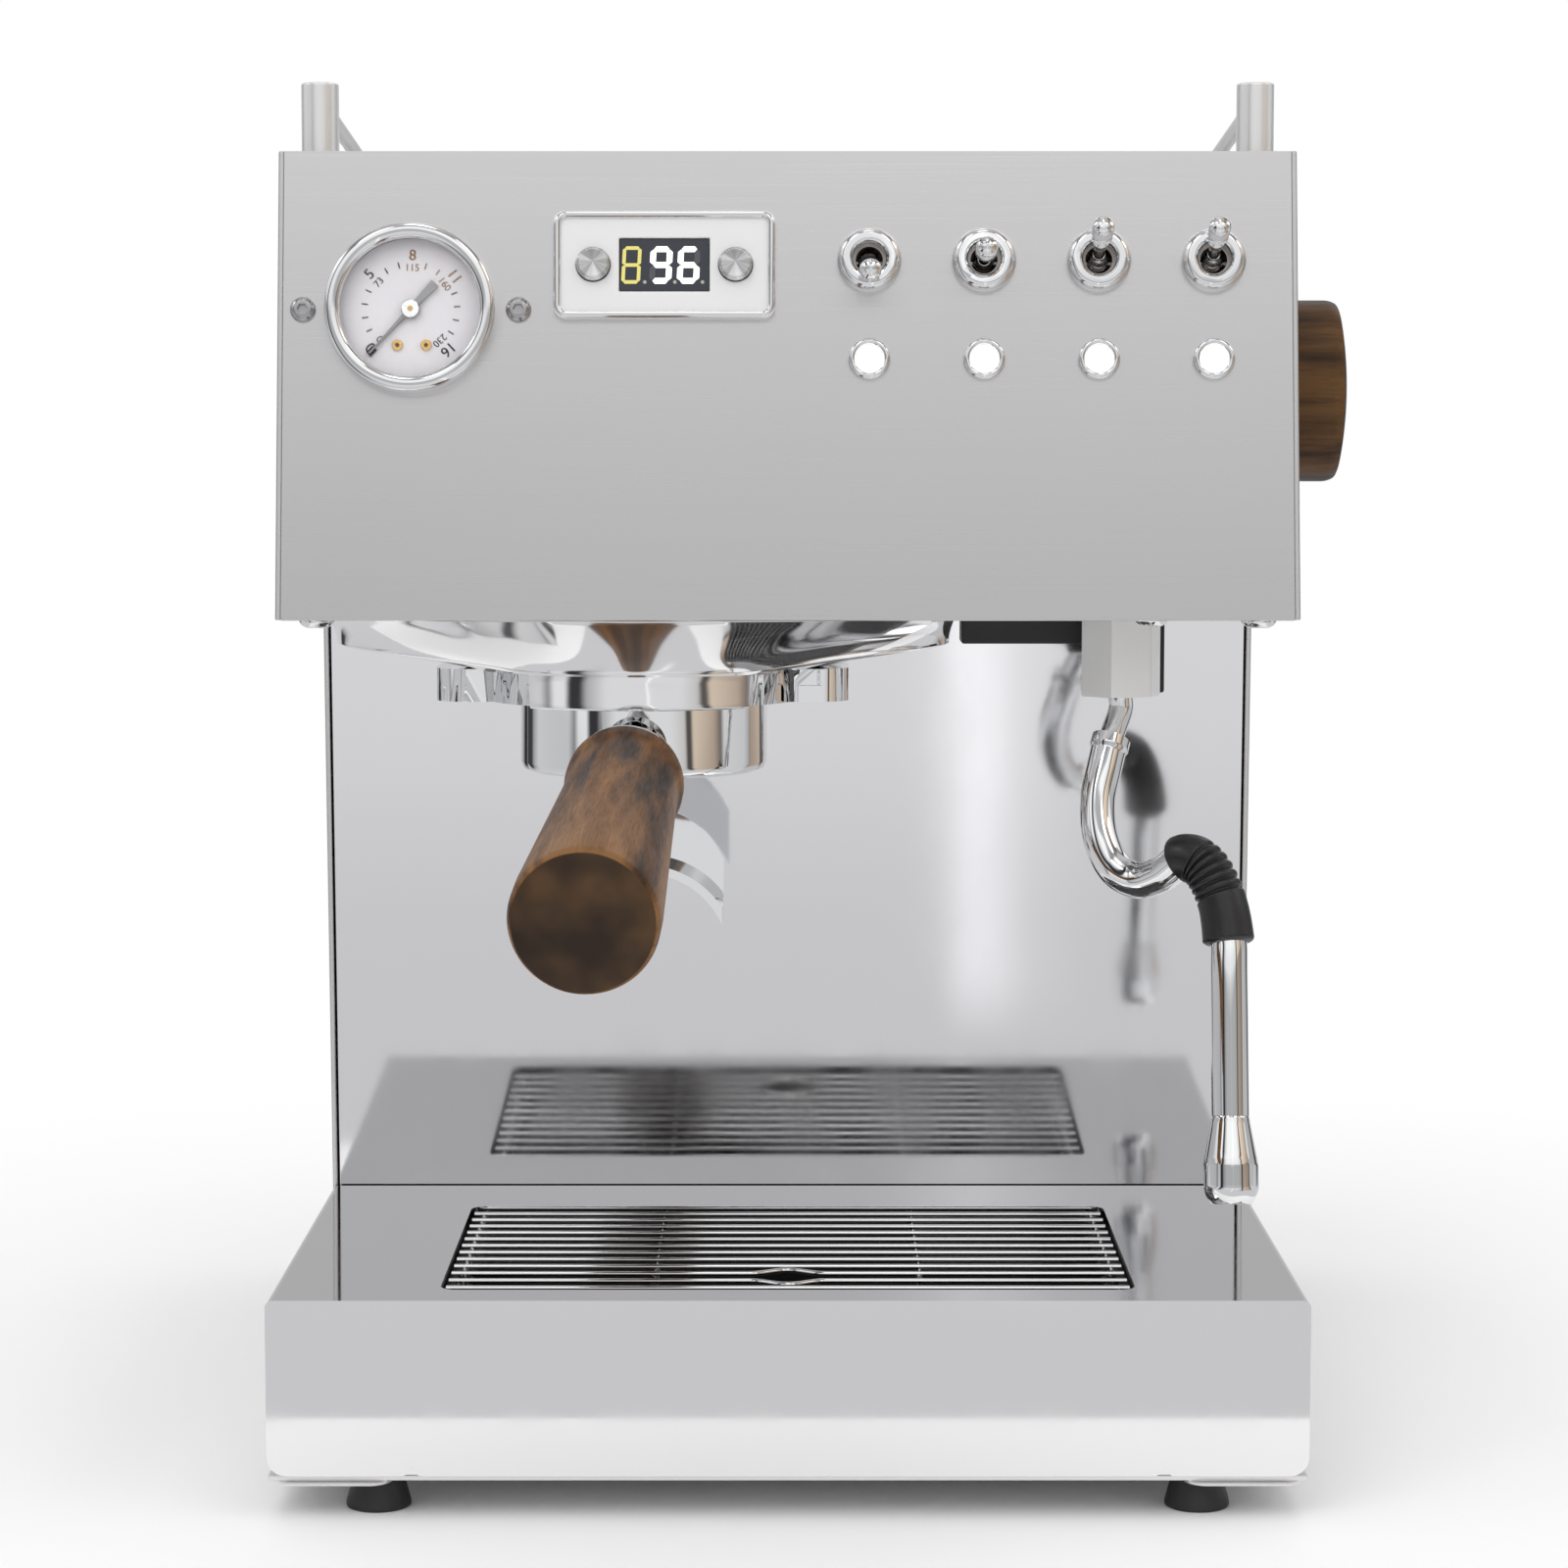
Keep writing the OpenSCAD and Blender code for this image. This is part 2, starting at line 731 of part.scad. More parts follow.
module bell_skin() {
    lip_z = -bell_lip;
    rings = concat(
        [bell_ring(0, flange_radii(-1)), bell_ring(-1, flange_radii(0)),
            bell_ring(lip_z + 2, flange_radii(0)), bell_ring(lip_z + 0.6, flange_radii(-0.8))],
        [for (i = [0:bell_steps]) bell_ring(
            lip_z - (bell_h - bell_lip) * i / bell_steps, flare_radii(i / bell_steps))]);
    count = len(rings);
    last = (count - 1) * bell_sides;
    polyhedron([for (r = rings) each r], concat(
        band_faces(count, bell_sides, 0),
        [[for (k = [bell_sides - 1:-1:0]) k], [for (k = [0:bell_sides - 1]) last + k]]));
}

module group_bell() {
    skirt_h = crown_top - bell_foot;
    color(chrome)
        at_group() {
            difference() {
                translate([0, 0, head_z]) bell_skin();
                translate([0, 0, bell_foot - eps]) cylinder(r = crown_r + slip_gap, h = skirt_h + eps);
                for (s = [-1, 1])
                    translate([s * (apron_half + 50), 0, bell_foot - 5])
                        translate([-50, -60, 0])
                            cube([100, 120, skirt_h + 5]);
                translate([0, 0, crown_top - eps])
                    ring(gasket_r, gasket_bore_r, pocket_z - crown_top + eps);
            }
            translate([0, 0, gasket_z]) cylinder(r = gasket_bore_r, h = pocket_z - gasket_z);
            translate([0, 0, head_z - 1]) cylinder(r = spigot_r, h = sheet_t + 1);
        }
}

module crown_outline() {
    circle(crown_r);
    round_rect(2 * ear_reach, 2 * ear_half, 9);
}

module group_crown() {
    entry = lug_span + 8;
    color(chrome)
        at_group()
            difference() {
                union() {
                    translate([0, 0, crown_z]) linear_extrude(crown_h) crown_outline();
                    translate([ear_reach - 14, -ear_half - 2, crown_z]) cube([6.5, 4, 4.5]);
                }
                translate([0, 0, crown_z - eps]) cylinder(r = crown_bore_r, h = crown_h + 2 * eps);
                translate([0, 0, groove_z]) cylinder(r = groove_r, h = groove_h);
                for (a = [0, 180])
                    translate([0, 0, crown_z - eps])
                        rotate([0, 0, a - rest_turn - unlock_turn])
                            wedge(groove_r, entry, lip_t + 2 * eps);
            }
}

module group_gasket() {
    color(black) at_group(gasket_z) ring(gasket_r, gasket_bore_r, gasket_h);
}

module shower_screen() {
    color(bright)
        at_group(gasket_z - screen_t) {
            difference() {
                cylinder(r = screen_r, h = screen_t);
                for (r = [10:6:22], i = [0:r - 1])
                    rotate([0, 0, i * 360 / r])
                        translate([r, 0, -eps])
                            cylinder(r = 0.75, h = screen_t + 2 * eps, $fn = 16);
            }
            mirror([0, 0, 1]) button_screw(5, 1.6, 1, 0);
        }
}

// ---------- water path inside the head ----------

module coffee_boiler() {
    lid_z0 = boiler_h - boiler_flange_t;
    color(brass)
        at_group(head_floor) {
            cylinder(r = boiler_r + 5, h = boiler_flange_t);
            cylinder(r = boiler_r, h = boiler_h);
            translate([0, 0, lid_z0]) cylinder(r = boiler_r + 3, h = boiler_flange_t);
            for (a = [45:90:315])
                rotate([0, 0, a]) translate([boiler_r - 1, 0, boiler_h]) cylinder(r = 3.5, h = 3, $fn = 6);
            for (s = [-1, 1])
                translate([s * nipple_dx, 0, boiler_h])
                    cylinder(r = 2.5, h = boiler_top - head_floor - boiler_h);
        }
}

module steam_boiler() {
    w = 84;
    d = 76;
    color(steel)
        translate([steam_x, steam_y, 0]) {
            translate([0, 0, head_floor + steam_stand]) {
                linear_extrude(steam_h) round_rect(w, d, 10);
                for (z = [10:20:steam_h - 10])
                    translate([0, 0, z - 2]) linear_extrude(4) round_rect(w + 4, d + 4, 12);
            }
            for (y = [-20, 20]) translate([0, y, steam_top - 6 - eps]) cylinder(r = 3, h = 6 + eps);
            for (s = [-1, 1])
                translate([s * 34 - 4, -34, head_floor]) cube([8, 30, steam_stand + eps]);
        }
}

module vibration_pump() {
    color(brass)
        translate([pump_x, pump_y, pump_z]) {
            rotate([0, 90, 0]) translate([0, 0, -pump_body_l / 2]) cylinder(r = pump_body_r, h = pump_body_l);
            cube([pump_coil_l, pump_coil, pump_coil], center = true);
            rotate([0, 90, 0]) translate([0, 0, -pump_reach]) cylinder(r = 5, h = 2 * pump_reach);
        }
}

module pump_mounts() {
    color(black)
        for (s = [-1, 1])
            translate([pump_x + s * pump_mount_dx, pump_y, pan_top]) cylinder(r = 8, h = pump_stand);
}

module solenoid_valve() {
    color(steel)
        translate([solenoid_x, solenoid_y, head_floor]) {
            translate([-13, -13, 0]) cube([26, 26, 16]);
            translate([0, 0, 16 - eps]) cylinder(r = 11, h = 26);
            translate([0, 0, 41]) cylinder(r = 3, h = solenoid_top - head_floor - 41);
        }
}

module steam_valve() {
    color(brass)
        translate([inner_x, knob_y, knob_z])
            rotate([0, -90, 0])
                difference() {
                    union() {
                        cylinder(r = 15, h = 3);
                        cylinder(r = 9.5, h = valve_l);
                        translate([-valve_port_l, 0, valve_port_in])
                            rotate([0, 90, 0])
                                cylinder(r = 4.5, h = valve_port_l);
                    }
                    translate([0, 0, -eps]) cylinder(r = spindle_r + run_gap, h = spindle_in + 2);
                }
}

module steam_spindle() {
    inner_end = inner_x - spindle_in;
    color(steel)
        translate([inner_end, knob_y, knob_z])
            rotate([0, 90, 0])
                cylinder(r = spindle_r, h = side_x + knob_gap + knob_t - 6 - inner_end);
}

module steam_knob() {
    edge = 6;
    color(walnut)
        translate([side_x + knob_gap, knob_y, knob_z])
            rotate([0, 90, 0])
                difference() {
                    rotate_extrude()
                        intersection() {
                            union() {
                                square([knob_r - edge, knob_t]);
                                translate([0, 1]) square([knob_r, knob_t - edge - 1]);
                                square([knob_r - 1, knob_t - edge]);
                                translate([knob_r - edge, knob_t - edge]) circle(edge);
                            }
                            translate([0, knob_t - 110]) circle(110, $fn = 256);
                            square([knob_r, knob_t]);
                        }
                    translate([0, 0, -eps]) cylinder(r = spindle_r + eps, h = knob_t - 6 + eps);
                }
}

// ---------- steam wand ----------

module wand_holder() {
    color(bright)
        translate([wand_x, wand_y, holder_z])
            difference() {
                rotate([0, 0, 12]) cylinder(r = hex_r, h = holder_h, $fn = 6);
                translate([0, 0, -eps]) cylinder(r = neck_r + run_gap, h = holder_h - 5);
                translate([0, 0, holder_h - 6]) cylinder(r = 2, h = 7);
            }
}

module wand_bracket() {
    strip_x = group_x + bell_rx + 1;
    block_y = wand_y + hex_r + 0.2;
    color(black) {
        translate([strip_x, block_y, head_z - 9]) cube([wand_x - strip_x, 14, 9]);
        translate([wand_x - 6, block_y, holder_z]) cube([19, 14, holder_h]);
    }
}

// centreline of the wand below its neck, from the holder's axis
wand_points = [
    [0, 0, -4], [-2.6, -4, -10.6], [-5, -8, -19], [-7, -11.6, -27.5], [-6.6, -16, -37],
    [-3, -20, -45], [3, -24, -48], [9, -29, -45.6], [14.5, -34, -41], [19.5, -38, -43],
    [23.4, -42, -51], [25, -45, -61], [25, -48, -71], [24.8, -56, -106.4]
];
wand_steps = 4;
wand_path = [for (p = smooth(wand_points, wand_steps)) p + [wand_x, wand_y, holder_z]];
grip_first = 8 * wand_steps - 2;
grip_last = 12 * wand_steps;
wand_sides = 16;

module wand_tube() {
    rings = len(wand_path);
    color(chrome) {
        rod_sweep(wand_path, [for (i = [0:rings - 1]) i == 0 ? neck_r - 0.8 : tube_r], wand_sides);
        translate([wand_x, wand_y, holder_z - 4.6]) cylinder(r = neck_r, h = holder_h - 3.4);
        translate(wand_path[2 * wand_steps - 3])
            multmatrix(look_along(tangent(wand_path, 2 * wand_steps - 3)))
                translate([0, 0, -1.5])
                    cylinder(r = tube_r + 0.45, h = 3);
    }
}

// turns z to the direction t
function look_along(t) =
    let (u = unit(cross([0, 1, 0], t)), v = cross(t, u))
    [[u[0], v[0], t[0], 0], [u[1], v[1], t[1], 0], [u[2], v[2], t[2], 0], [0, 0, 0, 1]];

module wand_grip() {
    part = [for (i = [grip_first:grip_last]) wand_path[i]];
    count = len(part);
    radii = [for (i = [0:count - 1])
        tube_r + grip_t + (i == 0 || i == count - 1 ? -0.5 : i % 2 == 1 && i < count - 4 ? 0.4 : 0)];
    color(black) sleeve_sweep(part, radii, tube_r + 0.02, wand_sides);
}

module wand_tip() {
    end = len(wand_path) - 1;
    big_r = tube_r + 2.3;
    color(chrome)
        translate(wand_path[end])
            multmatrix(look_along(tangent(wand_path, end)))
                difference() {
                    rotate_extrude() {
                        polygon([[0, 0], [tube_r, 0], [tube_r + 0.3, 2], [big_r - 0.3, 11],
                            [big_r, 13], [big_r, 18], [0, 18]]);
                        intersection() {
                            translate([0, 18]) circle(big_r);
                            translate([0, 18]) square([big_r, 5]);
                        }
                    }
                    for (a = [0:90:270])
                        rotate([0, 0, a]) translate([3, 0, 18]) cylinder(r = 0.8, h = 8, $fn = 16);
                }
}

// ---------- pressure gauge ----------

module at_gauge() on_fascia(gauge_cx, gauge_up) children();

module gauge_case() {
    color(black)
        at_gauge()
            difference() {
                union() {
                    translate([0, 0, -gauge_depth]) cylinder(r = gauge_case_r, h = gauge_depth + case_front);
                    translate([0, 0, -gauge_depth - 9]) cylinder(r = 6.5, h = 10, $fn = 6);
                }
                translate([0, 0, dial_z]) cylinder(r = glass_r, h = case_front + 2);
                translate([0, 0, dial_z - 6]) cylinder(r = pin_r + run_gap, h = 7);
            }
}

module gauge_dial() {
    color(white) at_gauge() translate([0, 0, dial_z]) ring(glass_r, pin_r + run_gap, dial_t);
}

module gauge_bezel() {
    color(chrome)
        at_gauge()
            rotate_extrude()
                difference() {
                    union() {
                        translate([gauge_case_r, 0]) square([gauge_r - gauge_case_r, case_front]);
                        translate([glass_r - 0.6, case_front])
                            square([gauge_r - 1 - glass_r + 0.6, 2.4]);
                        translate([gauge_r - 2.4, case_front]) intersection() {
                            circle(2.4);
                            square([2.4, 2.4]);
                        }
                    }
                    translate([glass_r - 0.6 - eps, case_front + 1.2])
                        polygon([[0, 0], [0, 2], [1.6, 2]]);
                }
}

module gauge_glass() {
    color([0.8, 0.85, 0.88, 0.4]) at_gauge() translate([0, 0, case_front - 1]) cylinder(r = glass_r, h = 1);
}

module gauge_needle() {
    zero_turn = -42.7;
    tail_l = 9.5;
    color(steel)
        at_gauge() {
            translate([0, 0, dial_z - 5]) cylinder(r = pin_r, h = 5 + dial_t + 0.6);
            translate([0, 0, needle_z]) {
                cylinder(r = 2.5, h = needle_t + 0.4);
                rotate([0, 0, zero_turn]) linear_extrude(needle_t) polygon([
                    [-0.2, -16], [0.2, -16], [0.7, 0], [1.2, tail_l], [-1.2, tail_l], [-0.7, 0]
                ]);
            }
        }
}

// ---------- display ----------

module at_display() on_fascia(display_x, display_up) children();

module display_frame() {
    color(bright)
        at_display()
            difference() {
                union() {
                    linear_extrude(frame_t) round_rect(display_w, display_h, 3);
                    linear_extrude(frame_t + 0.8) difference() {
                        round_rect(display_w, display_h, 3);
                        round_rect(display_w - 2.8, display_h - 2.8, 1.8);
                    }
                }
                translate([-window_w / 2, -window_h / 2, -eps]) cube([window_w, window_h, frame_t + 2]);
                for (s = [-1, 1])
                    translate([s * button_dx, 0, -eps]) cylinder(r = button_r + slip_gap, h = frame_t + 2);
            }
}

module display_module() {
    color(black)
        at_display()
            difference() {
                union() {
                    translate([-module_w / 2, -module_h / 2, -16]) cube([module_w, module_h, 16]);
                    translate([-window_w / 2 + slip_gap, -window_h / 2 + slip_gap, -eps])
                        cube([window_w - 2 * slip_gap, window_h - 2 * slip_gap, frame_t - 0.6]);
                }
                for (s = [-1, 1])
                    translate([s * button_dx, 0, -8]) cylinder(r = stem_r + run_gap, h = 9);
            }
}

module set_button(side) {
    rest_z = button_travel + move_gap;
    color(bright)
        on_fascia(display_x + side * button_dx, display_up) {
            translate([0, 0, rest_z]) rotate_extrude() polygon([
                [0, 0], [button_r, 0], [button_r, frame_t + 1], [button_r - 0.5, frame_t + 1.5],
                [0, frame_t + 1.2]
            ]);
            translate([0, 0, -6]) cylinder(r = stem_r, h = 6 + rest_z + eps);
        }
}

module minus_button() set_button(-1);
module plus_button() set_button(1);

module control_board() {
    color([0.1, 0.35, 0.2])
        translate([-inner_x, board_y, board_z]) {
            translate([board_stand, 0, 0]) cube([board_t, board_d, board_h]);
            for (y = [6, board_d - 6], z = [6, board_h - 6])
                translate([0, y, z]) rotate([0, 90, 0]) cylinder(r = 3, h = board_stand + eps);
            translate([board_stand + board_t - eps, board_d / 6, board_h / 10]) cube([18, 26, 30]);
            translate([board_stand + board_t - eps, board_d / 5, board_h / 2]) cube([14, 16, 16]);
            translate([board_stand + board_t - eps, board_d * 0.57, board_h * 0.76]) cube([10, 20, 12]);
        }
}

// ---------- switches and lamps ----------

module switch_rings() {
    shoulder = 1.2;
    color(chrome)
        for (x = switch_xs)
            on_fascia(x, switch_up)
                rotate_extrude() polygon([
                    [neck_hole_r, 0], [ring_r, 0], [ring_r, ring_h * 0.55], [ring_r - 1, ring_h - 0.3],
                    [ring_r - 2, ring_h], [5, ring_h], [4.4, ring_h - 0.6], [4.4, shoulder],
                    [neck_hole_r, shoulder]
                ]);
}

module switch_bodies() {
    color(black)
        for (x = switch_xs)
            on_fascia(x, switch_up)
                difference() {
                    union() {
                        translate([-6.5, -10, -sheet_t - 20]) cube([13, 20, 20]);
                        translate([0, 0, -sheet_t - 1]) cylinder(r = neck_hole_r - slip_gap, h = sheet_t + 2);
                        for (y = [-6, 0, 6]) translate([-2, y - 0.4, -sheet_t - 28]) cube([4, 0.8, 9]);
                    }
                    translate([0, 0, -12]) cylinder(r = 3.6, h = 14);
                    translate([0, 0, -pivot_back])
                        rotate([0, 90, 0])
                            cylinder(r = lever_pin_r + run_gap, h = 14, center = true, $fn = 32);
                }
}

module switch_lever(i, angle) {
    stem = 1.6;
    tip = 2.9;
    color(chrome)
        on_fascia(switch_xs[i], switch_up)
            translate([0, 0, -pivot_back])
                rotate([-angle, 0, 0]) {
                    rotate_extrude() polygon(concat(
                        [[0, -6], [1.4, -6], [1.4, -2.6], [2, -2.2]],
                        [for (a = [-40:20:40]) [3 * cos(a), 3 * sin(a)]],
                        [[stem, 2.6], [stem, 12], [stem + 0.5, 12.6], [stem + 0.5, 13.6], [stem, 14.2],
                            [stem, 15], [tip - 0.5, 16], [tip, 17], [tip, pivot_back + lever_l - 2.2]],
                        [for (a = [20:20:80])
                            [tip * cos(a), pivot_back + lever_l - 2.2 + 2.2 * sin(a)]],
                        [[0, pivot_back + lever_l]]));
                    rotate([0, 90, 0]) cylinder(r = lever_pin_r, h = 11, center = true, $fn = 32);
                }
}

module power_lever() switch_lever(0, -lever_tilt);
module coffee_lever() switch_lever(1, 0);
module water_lever() switch_lever(2, lever_tilt);
module steam_lever() switch_lever(3, lever_tilt);

module lamp_bezels() {
    color(chrome)
        for (x = switch_xs)
            on_fascia(x, lamp_up)
                rotate_extrude() polygon([
                    [lamp_body_r, -7], [lamp_hole_r, -7], [lamp_hole_r, 0], [lamp_r, 0], [lamp_r, 0.8],
                    [lamp_r - 0.8, 1.8], [lamp_body_r + 0.3, 1.8], [lamp_body_r, 1.4]
                ]);
}

module lamp_lenses() {
    color(white)
        for (x = switch_xs)
            on_fascia(x, lamp_up)
                rotate_extrude() polygon(concat(
                    [[0, -9], [lamp_body_r, -9], [lamp_body_r, 0.6]],
                    [for (a = [15:15:75]) [lamp_body_r * cos(a), 0.6 + 1.4 * sin(a)]],
                    [[0, 2]]));
}

// ---------- rear and tank ----------

module mains_inlet() {
    color(black)
        translate([inlet_x, body_d, inlet_z])
            rotate([-90, 0, 0])
                difference() {
                    union() {
                        linear_extrude(inlet_t) round_rect(inlet_w, inlet_h, 4);
                        translate([-inlet_w / 2 + 10.2, -inlet_h / 2 + 2.2, -22])
                            cube([inlet_w - 20.4, inlet_h - 4.4, 22 + eps]);
                    }
                    translate([-12, -8, -14]) cube([24, 16, 20]);
                    for (s = [-1, 1])
                        translate([s * 20, 0, -eps]) cylinder(r = 1.7, h = inlet_t + 2 * eps);
                }
    color(bright)
        translate([inlet_x, body_d, inlet_z])
            for (p = [[-7, -2], [0, 2], [7, -2]])
                translate([p[0] - 1, -14.5, p[1] - 2]) cube([2, 10, 4]);
}

module tank_dock() {
    color(black)
        translate([0, tank_y + tank_d / 2, pan_top])
            difference() {
                union() {
                    linear_extrude(dock_h - move_gap) round_rect(tank_w - 20, tank_d - 14, 6);
                    linear_extrude(3) round_rect(tank_w, tank_d, 6);
                }
                translate([0, 0, dock_h - nipple_h - 2]) cylinder(r = nipple_r + 0.4, h = nipple_h + 4);
            }
}

module water_tank() {
    color([0.85, 0.88, 0.9, 0.5])
        translate([0, tank_y + tank_d / 2, 0]) {
            difference() {
                translate([0, 0, tank_z]) linear_extrude(tank_top - tank_z) round_rect(tank_w, tank_d, 7);
                translate([0, 0, tank_z + tank_t])
                    linear_extrude(tank_top - tank_z)
                        round_rect(tank_w - 2 * tank_t, tank_d - 2 * tank_t, 5);
            }
            translate([0, 0, tank_z - nipple_h]) ring(nipple_r, 3, nipple_h + eps);
        }
    for (s = [-1, 1])
        color([0.85, 0.88, 0.9, 0.5])
            translate([s * (lid_w / 2 + 0.5 + ear_t / 2), hinge_y, tank_top - 3])
                difference() {
                    translate([-ear_t / 2, -3, 0]) cube([ear_t, 6, 3 + hinge_z - tank_top + 1.9]);
                    translate([-ear_t / 2 - 1, 0, 3 + hinge_z - tank_top])
                        rotate([0, 90, 0])
                            cylinder(r = hinge_r + run_gap, h = ear_t + 2);
                }
}

module tank_lid() {
    front_w = tank_w - 1;
    front_d = tank_d - 12;
    color(black) {
        translate([0, tank_y + 0.5, lid_z])
            linear_extrude(lid_t)
                difference() {
                    union() {
                        translate([0, front_d / 2]) round_rect(front_w, front_d, 8);
                        translate([-lid_w / 2, front_d - 10])
                            square([lid_w, hinge_y - tank_y - front_d + 9.5]);
                    }
                    translate([0, 14]) slot(40, 12);
                }
        translate([-lid_w / 2, hinge_y, hinge_z]) rotate([0, 90, 0]) cylinder(r = lid_t / 2, h = lid_w);
        translate([-lid_w / 2 - 0.5 - ear_t, hinge_y, hinge_z])
            rotate([0, 90, 0])
                cylinder(r = hinge_r, h = lid_w + 1 + 2 * ear_t);
    }
}

// hose through hand-placed points, straight at both ends so that it meets its fittings squarely
module hose(pts, r, ref = [0, 1, 0]) {
    last = len(pts) - 1;
    path = concat([pts[0]], smooth([for (i = [1:last - 1]) pts[i]], 4), [pts[last]]);
    rod_sweep(path, [for (p = path) r], 8, ref);
}

module hoses() {
    lift = [0, 0, 9];
    pump_in = [pump_x + pump_reach, pump_y, pump_z];
    pump_out = [pump_x - pump_reach, pump_y, pump_z];
    dock_port = [44, tank_y + 7, pan_top + 11];
    boiler_in = [group_x + nipple_dx, group_y, boiler_top];
    boiler_out = [group_x - nipple_dx, group_y, boiler_top];
    valve_port = [inner_x - valve_port_in, knob_y, knob_z - valve_port_l];
    steam_port = [steam_x, steam_y - 20, steam_top];
    riser_x = -inner_x + 33;
    color(white) {
        hose([
            dock_port, dock_port - [0, 8, 0], dock_port + [6, -22, 8],
            [pump_in[0] + 18, pump_y + 10, pump_z - 8], [pump_in[0] + 15, pump_y + 1, pump_z - 0.5],
            pump_in + [8, 0, 0], pump_in
        ], hose_r, [0, 0, 1]);
        hose([
            pump_out, pump_out - [8, 0, 0], [riser_x + 4, pump_y + 1, pump_z + 11],
            [riser_x, pump_y + 2, pump_z + 40], [riser_x, pump_y + 2, head_z - 40],
            [riser_x, pump_y - 2, head_z + 19], [riser_x + 9, splash_y + 25, head_z + 58],
            [-76, splash_y - 5, boiler_top + 23], boiler_in + [-22, 20, 29], boiler_in + [-2, 2, 19],
            boiler_in + lift, boiler_in
        ], hose_r);
        hose([
            boiler_out, boiler_out + lift, boiler_out + [-9, 4, 16], boiler_out + [-29, 15, 17],
            [solenoid_x + 8, solenoid_y - 4, solenoid_top + 17], [solenoid_x, solenoid_y, solenoid_top] + lift,
            [solenoid_x, solenoid_y, solenoid_top]
        ], hose_r);
        hose([
            valve_port, valve_port - lift, valve_port - [4.5, 6, 18], [wand_x + 4, wand_y + 5, head_floor + 17],
            [wand_x, wand_y, head_floor] + lift, [wand_x, wand_y, head_z]
        ], hose_r - 0.2);
        hose([
            steam_port, steam_port + lift, steam_port + [6, -4, 16], steam_port + [20, -12, 15],
            [steam_x + 30, steam_y - 40, steam_top + 3], [steam_x + 38, knob_y + 2, knob_z + 8],
            [inner_x - valve_l - 9, knob_y, knob_z], [inner_x - valve_l, knob_y, knob_z]
        ], hose_r);
    }
}

// ---------- portafilter ----------

module portafilter_body() {
    arm_l = collar_reach - bowl_r + 2;
    color(chrome) {
        at_group()
            rotate([0, 0, -rest_turn]) {
                difference() {
                    union() {
                        rotate_extrude() polygon([
                            [0, bowl_z], [bowl_r - 3, bowl_z], [bowl_r - 0.9, bowl_z + 0.9],
                            [bowl_r, bowl_z + 3], [bowl_r, rim_z - 5], [rim_r, rim_z - 4], [rim_r, rim_z],
                            [0, rim_z]
                        ]);
                        for (a = [0, 180])
                            rotate([0, 0, a])
                                translate([0, 0, lug_z])
                                    rotate([0, 0, -lug_span / 2])
                                        rotate_extrude(angle = lug_span)
                                            translate([rim_r - 0.9, 0])
                                                square([lug_r - rim_r + 0.9, lug_t]);
                    }
                    translate([0, 0, bowl_z + bowl_wall])
                        cylinder(r = basket_r + basket_t + 0.4, h = bowl_h);
                    translate([0, 0, bowl_z - eps]) cylinder(r = drain_r, h = bowl_wall + 2 * eps);
                }
            }
        on_arm(bowl_r - 2) rotate_extrude() polygon([
            [0, 0], [arm_r + 0.6, 0], [arm_r + 0.4, 6], [arm_r, 10], [arm_r, arm_l - 8],
            [handle_r - 1.5, arm_l - 5], [handle_r - 0.5, arm_l - 3], [handle_r - 0.5, arm_l],
            [tang_r, arm_l], [tang_r, arm_l + tang_l], [0, arm_l + tang_l]
        ]);
    }
}

module portafilter_handle() {
    l = handle_reach - collar_reach;
    neck = handle_r - 0.9;
    color(walnut)
        on_arm(collar_reach)
            difference() {
                rotate_extrude()
                    intersection() {
                        polygon([
                            [0, 0], [handle_r, 0], [handle_r, 5], [neck, 9], [neck + 0.4, 30],
                            [neck + (handle_end_r - neck) * 0.55, l * 0.55],
                            [handle_end_r, l - 14], [handle_end_r, l - 5], [handle_end_r - 0.8, l - 2.4],
                            [handle_end_r - 1.8, l], [0, l]
                        ]);
                        union() {
                            square([handle_end_r, l - 20]);
                            translate([0, l - dome_r]) intersection() {
                                circle(dome_r, $fn = 256);
                                square(dome_r);
                            }
                        }
                    }
                translate([0, 0, -eps]) cylinder(r = tang_r + 0.02, h = tang_l + 0.1);
            }
}

module filter_basket() {
    color(bright)
        at_group(rim_z)
            rotate_extrude() polygon([
                [0, -basket_depth], [basket_r - 2, -basket_depth], [basket_r + basket_t, -basket_depth + 3],
                [basket_r + basket_t, 0], [rim_r - 1, 0], [rim_r - 1, basket_lip_t], [basket_r, basket_lip_t],
                [basket_r, -basket_depth + 3.4], [basket_r - 2.4, -basket_depth + basket_t],
                [0, -basket_depth + basket_t]
            ]);
}

module spout() {
    top_z = bowl_z - 13;
    upper_c = top_z + 2 - spout_r;
    floor_r = 24;
    floor_c = upper_c - 18;
    wing_t = spout_t;
    color(chrome)
        at_group()
            rotate([0, 0, -rest_turn]) {
                translate([0, 0, top_z - 2]) ring(7, drain_r, bowl_z - top_z + 2);
                along_y(spout_d / 2 - wing_t, wing_t) spout_wing(upper_c, floor_c, floor_r);
                along_y(-spout_d / 2, spout_d) intersection() {
                    spout_wing(upper_c, floor_c, floor_r);
                    translate([0, floor_c]) circle(floor_r + 2.4);
                }
                along_y(spout_d / 2 - 3, 3) difference() {
                    spout_wing(upper_c, floor_c, floor_r);
                    translate([0, upper_c]) circle(spout_r - wing_t);
                }
            }
}

// outline of both spout channels, between an upper and a lower arc
module spout_wing(upper_c, floor_c, floor_r) {
    difference() {
        intersection() {
            translate([0, upper_c]) circle(spout_r, $fn = 96);
            translate([-spout_half, floor_c]) square([2 * spout_half, 60]);
        }
        translate([0, floor_c]) circle(floor_r, $fn = 96);
    }
}

// ---------- drip tray ----------

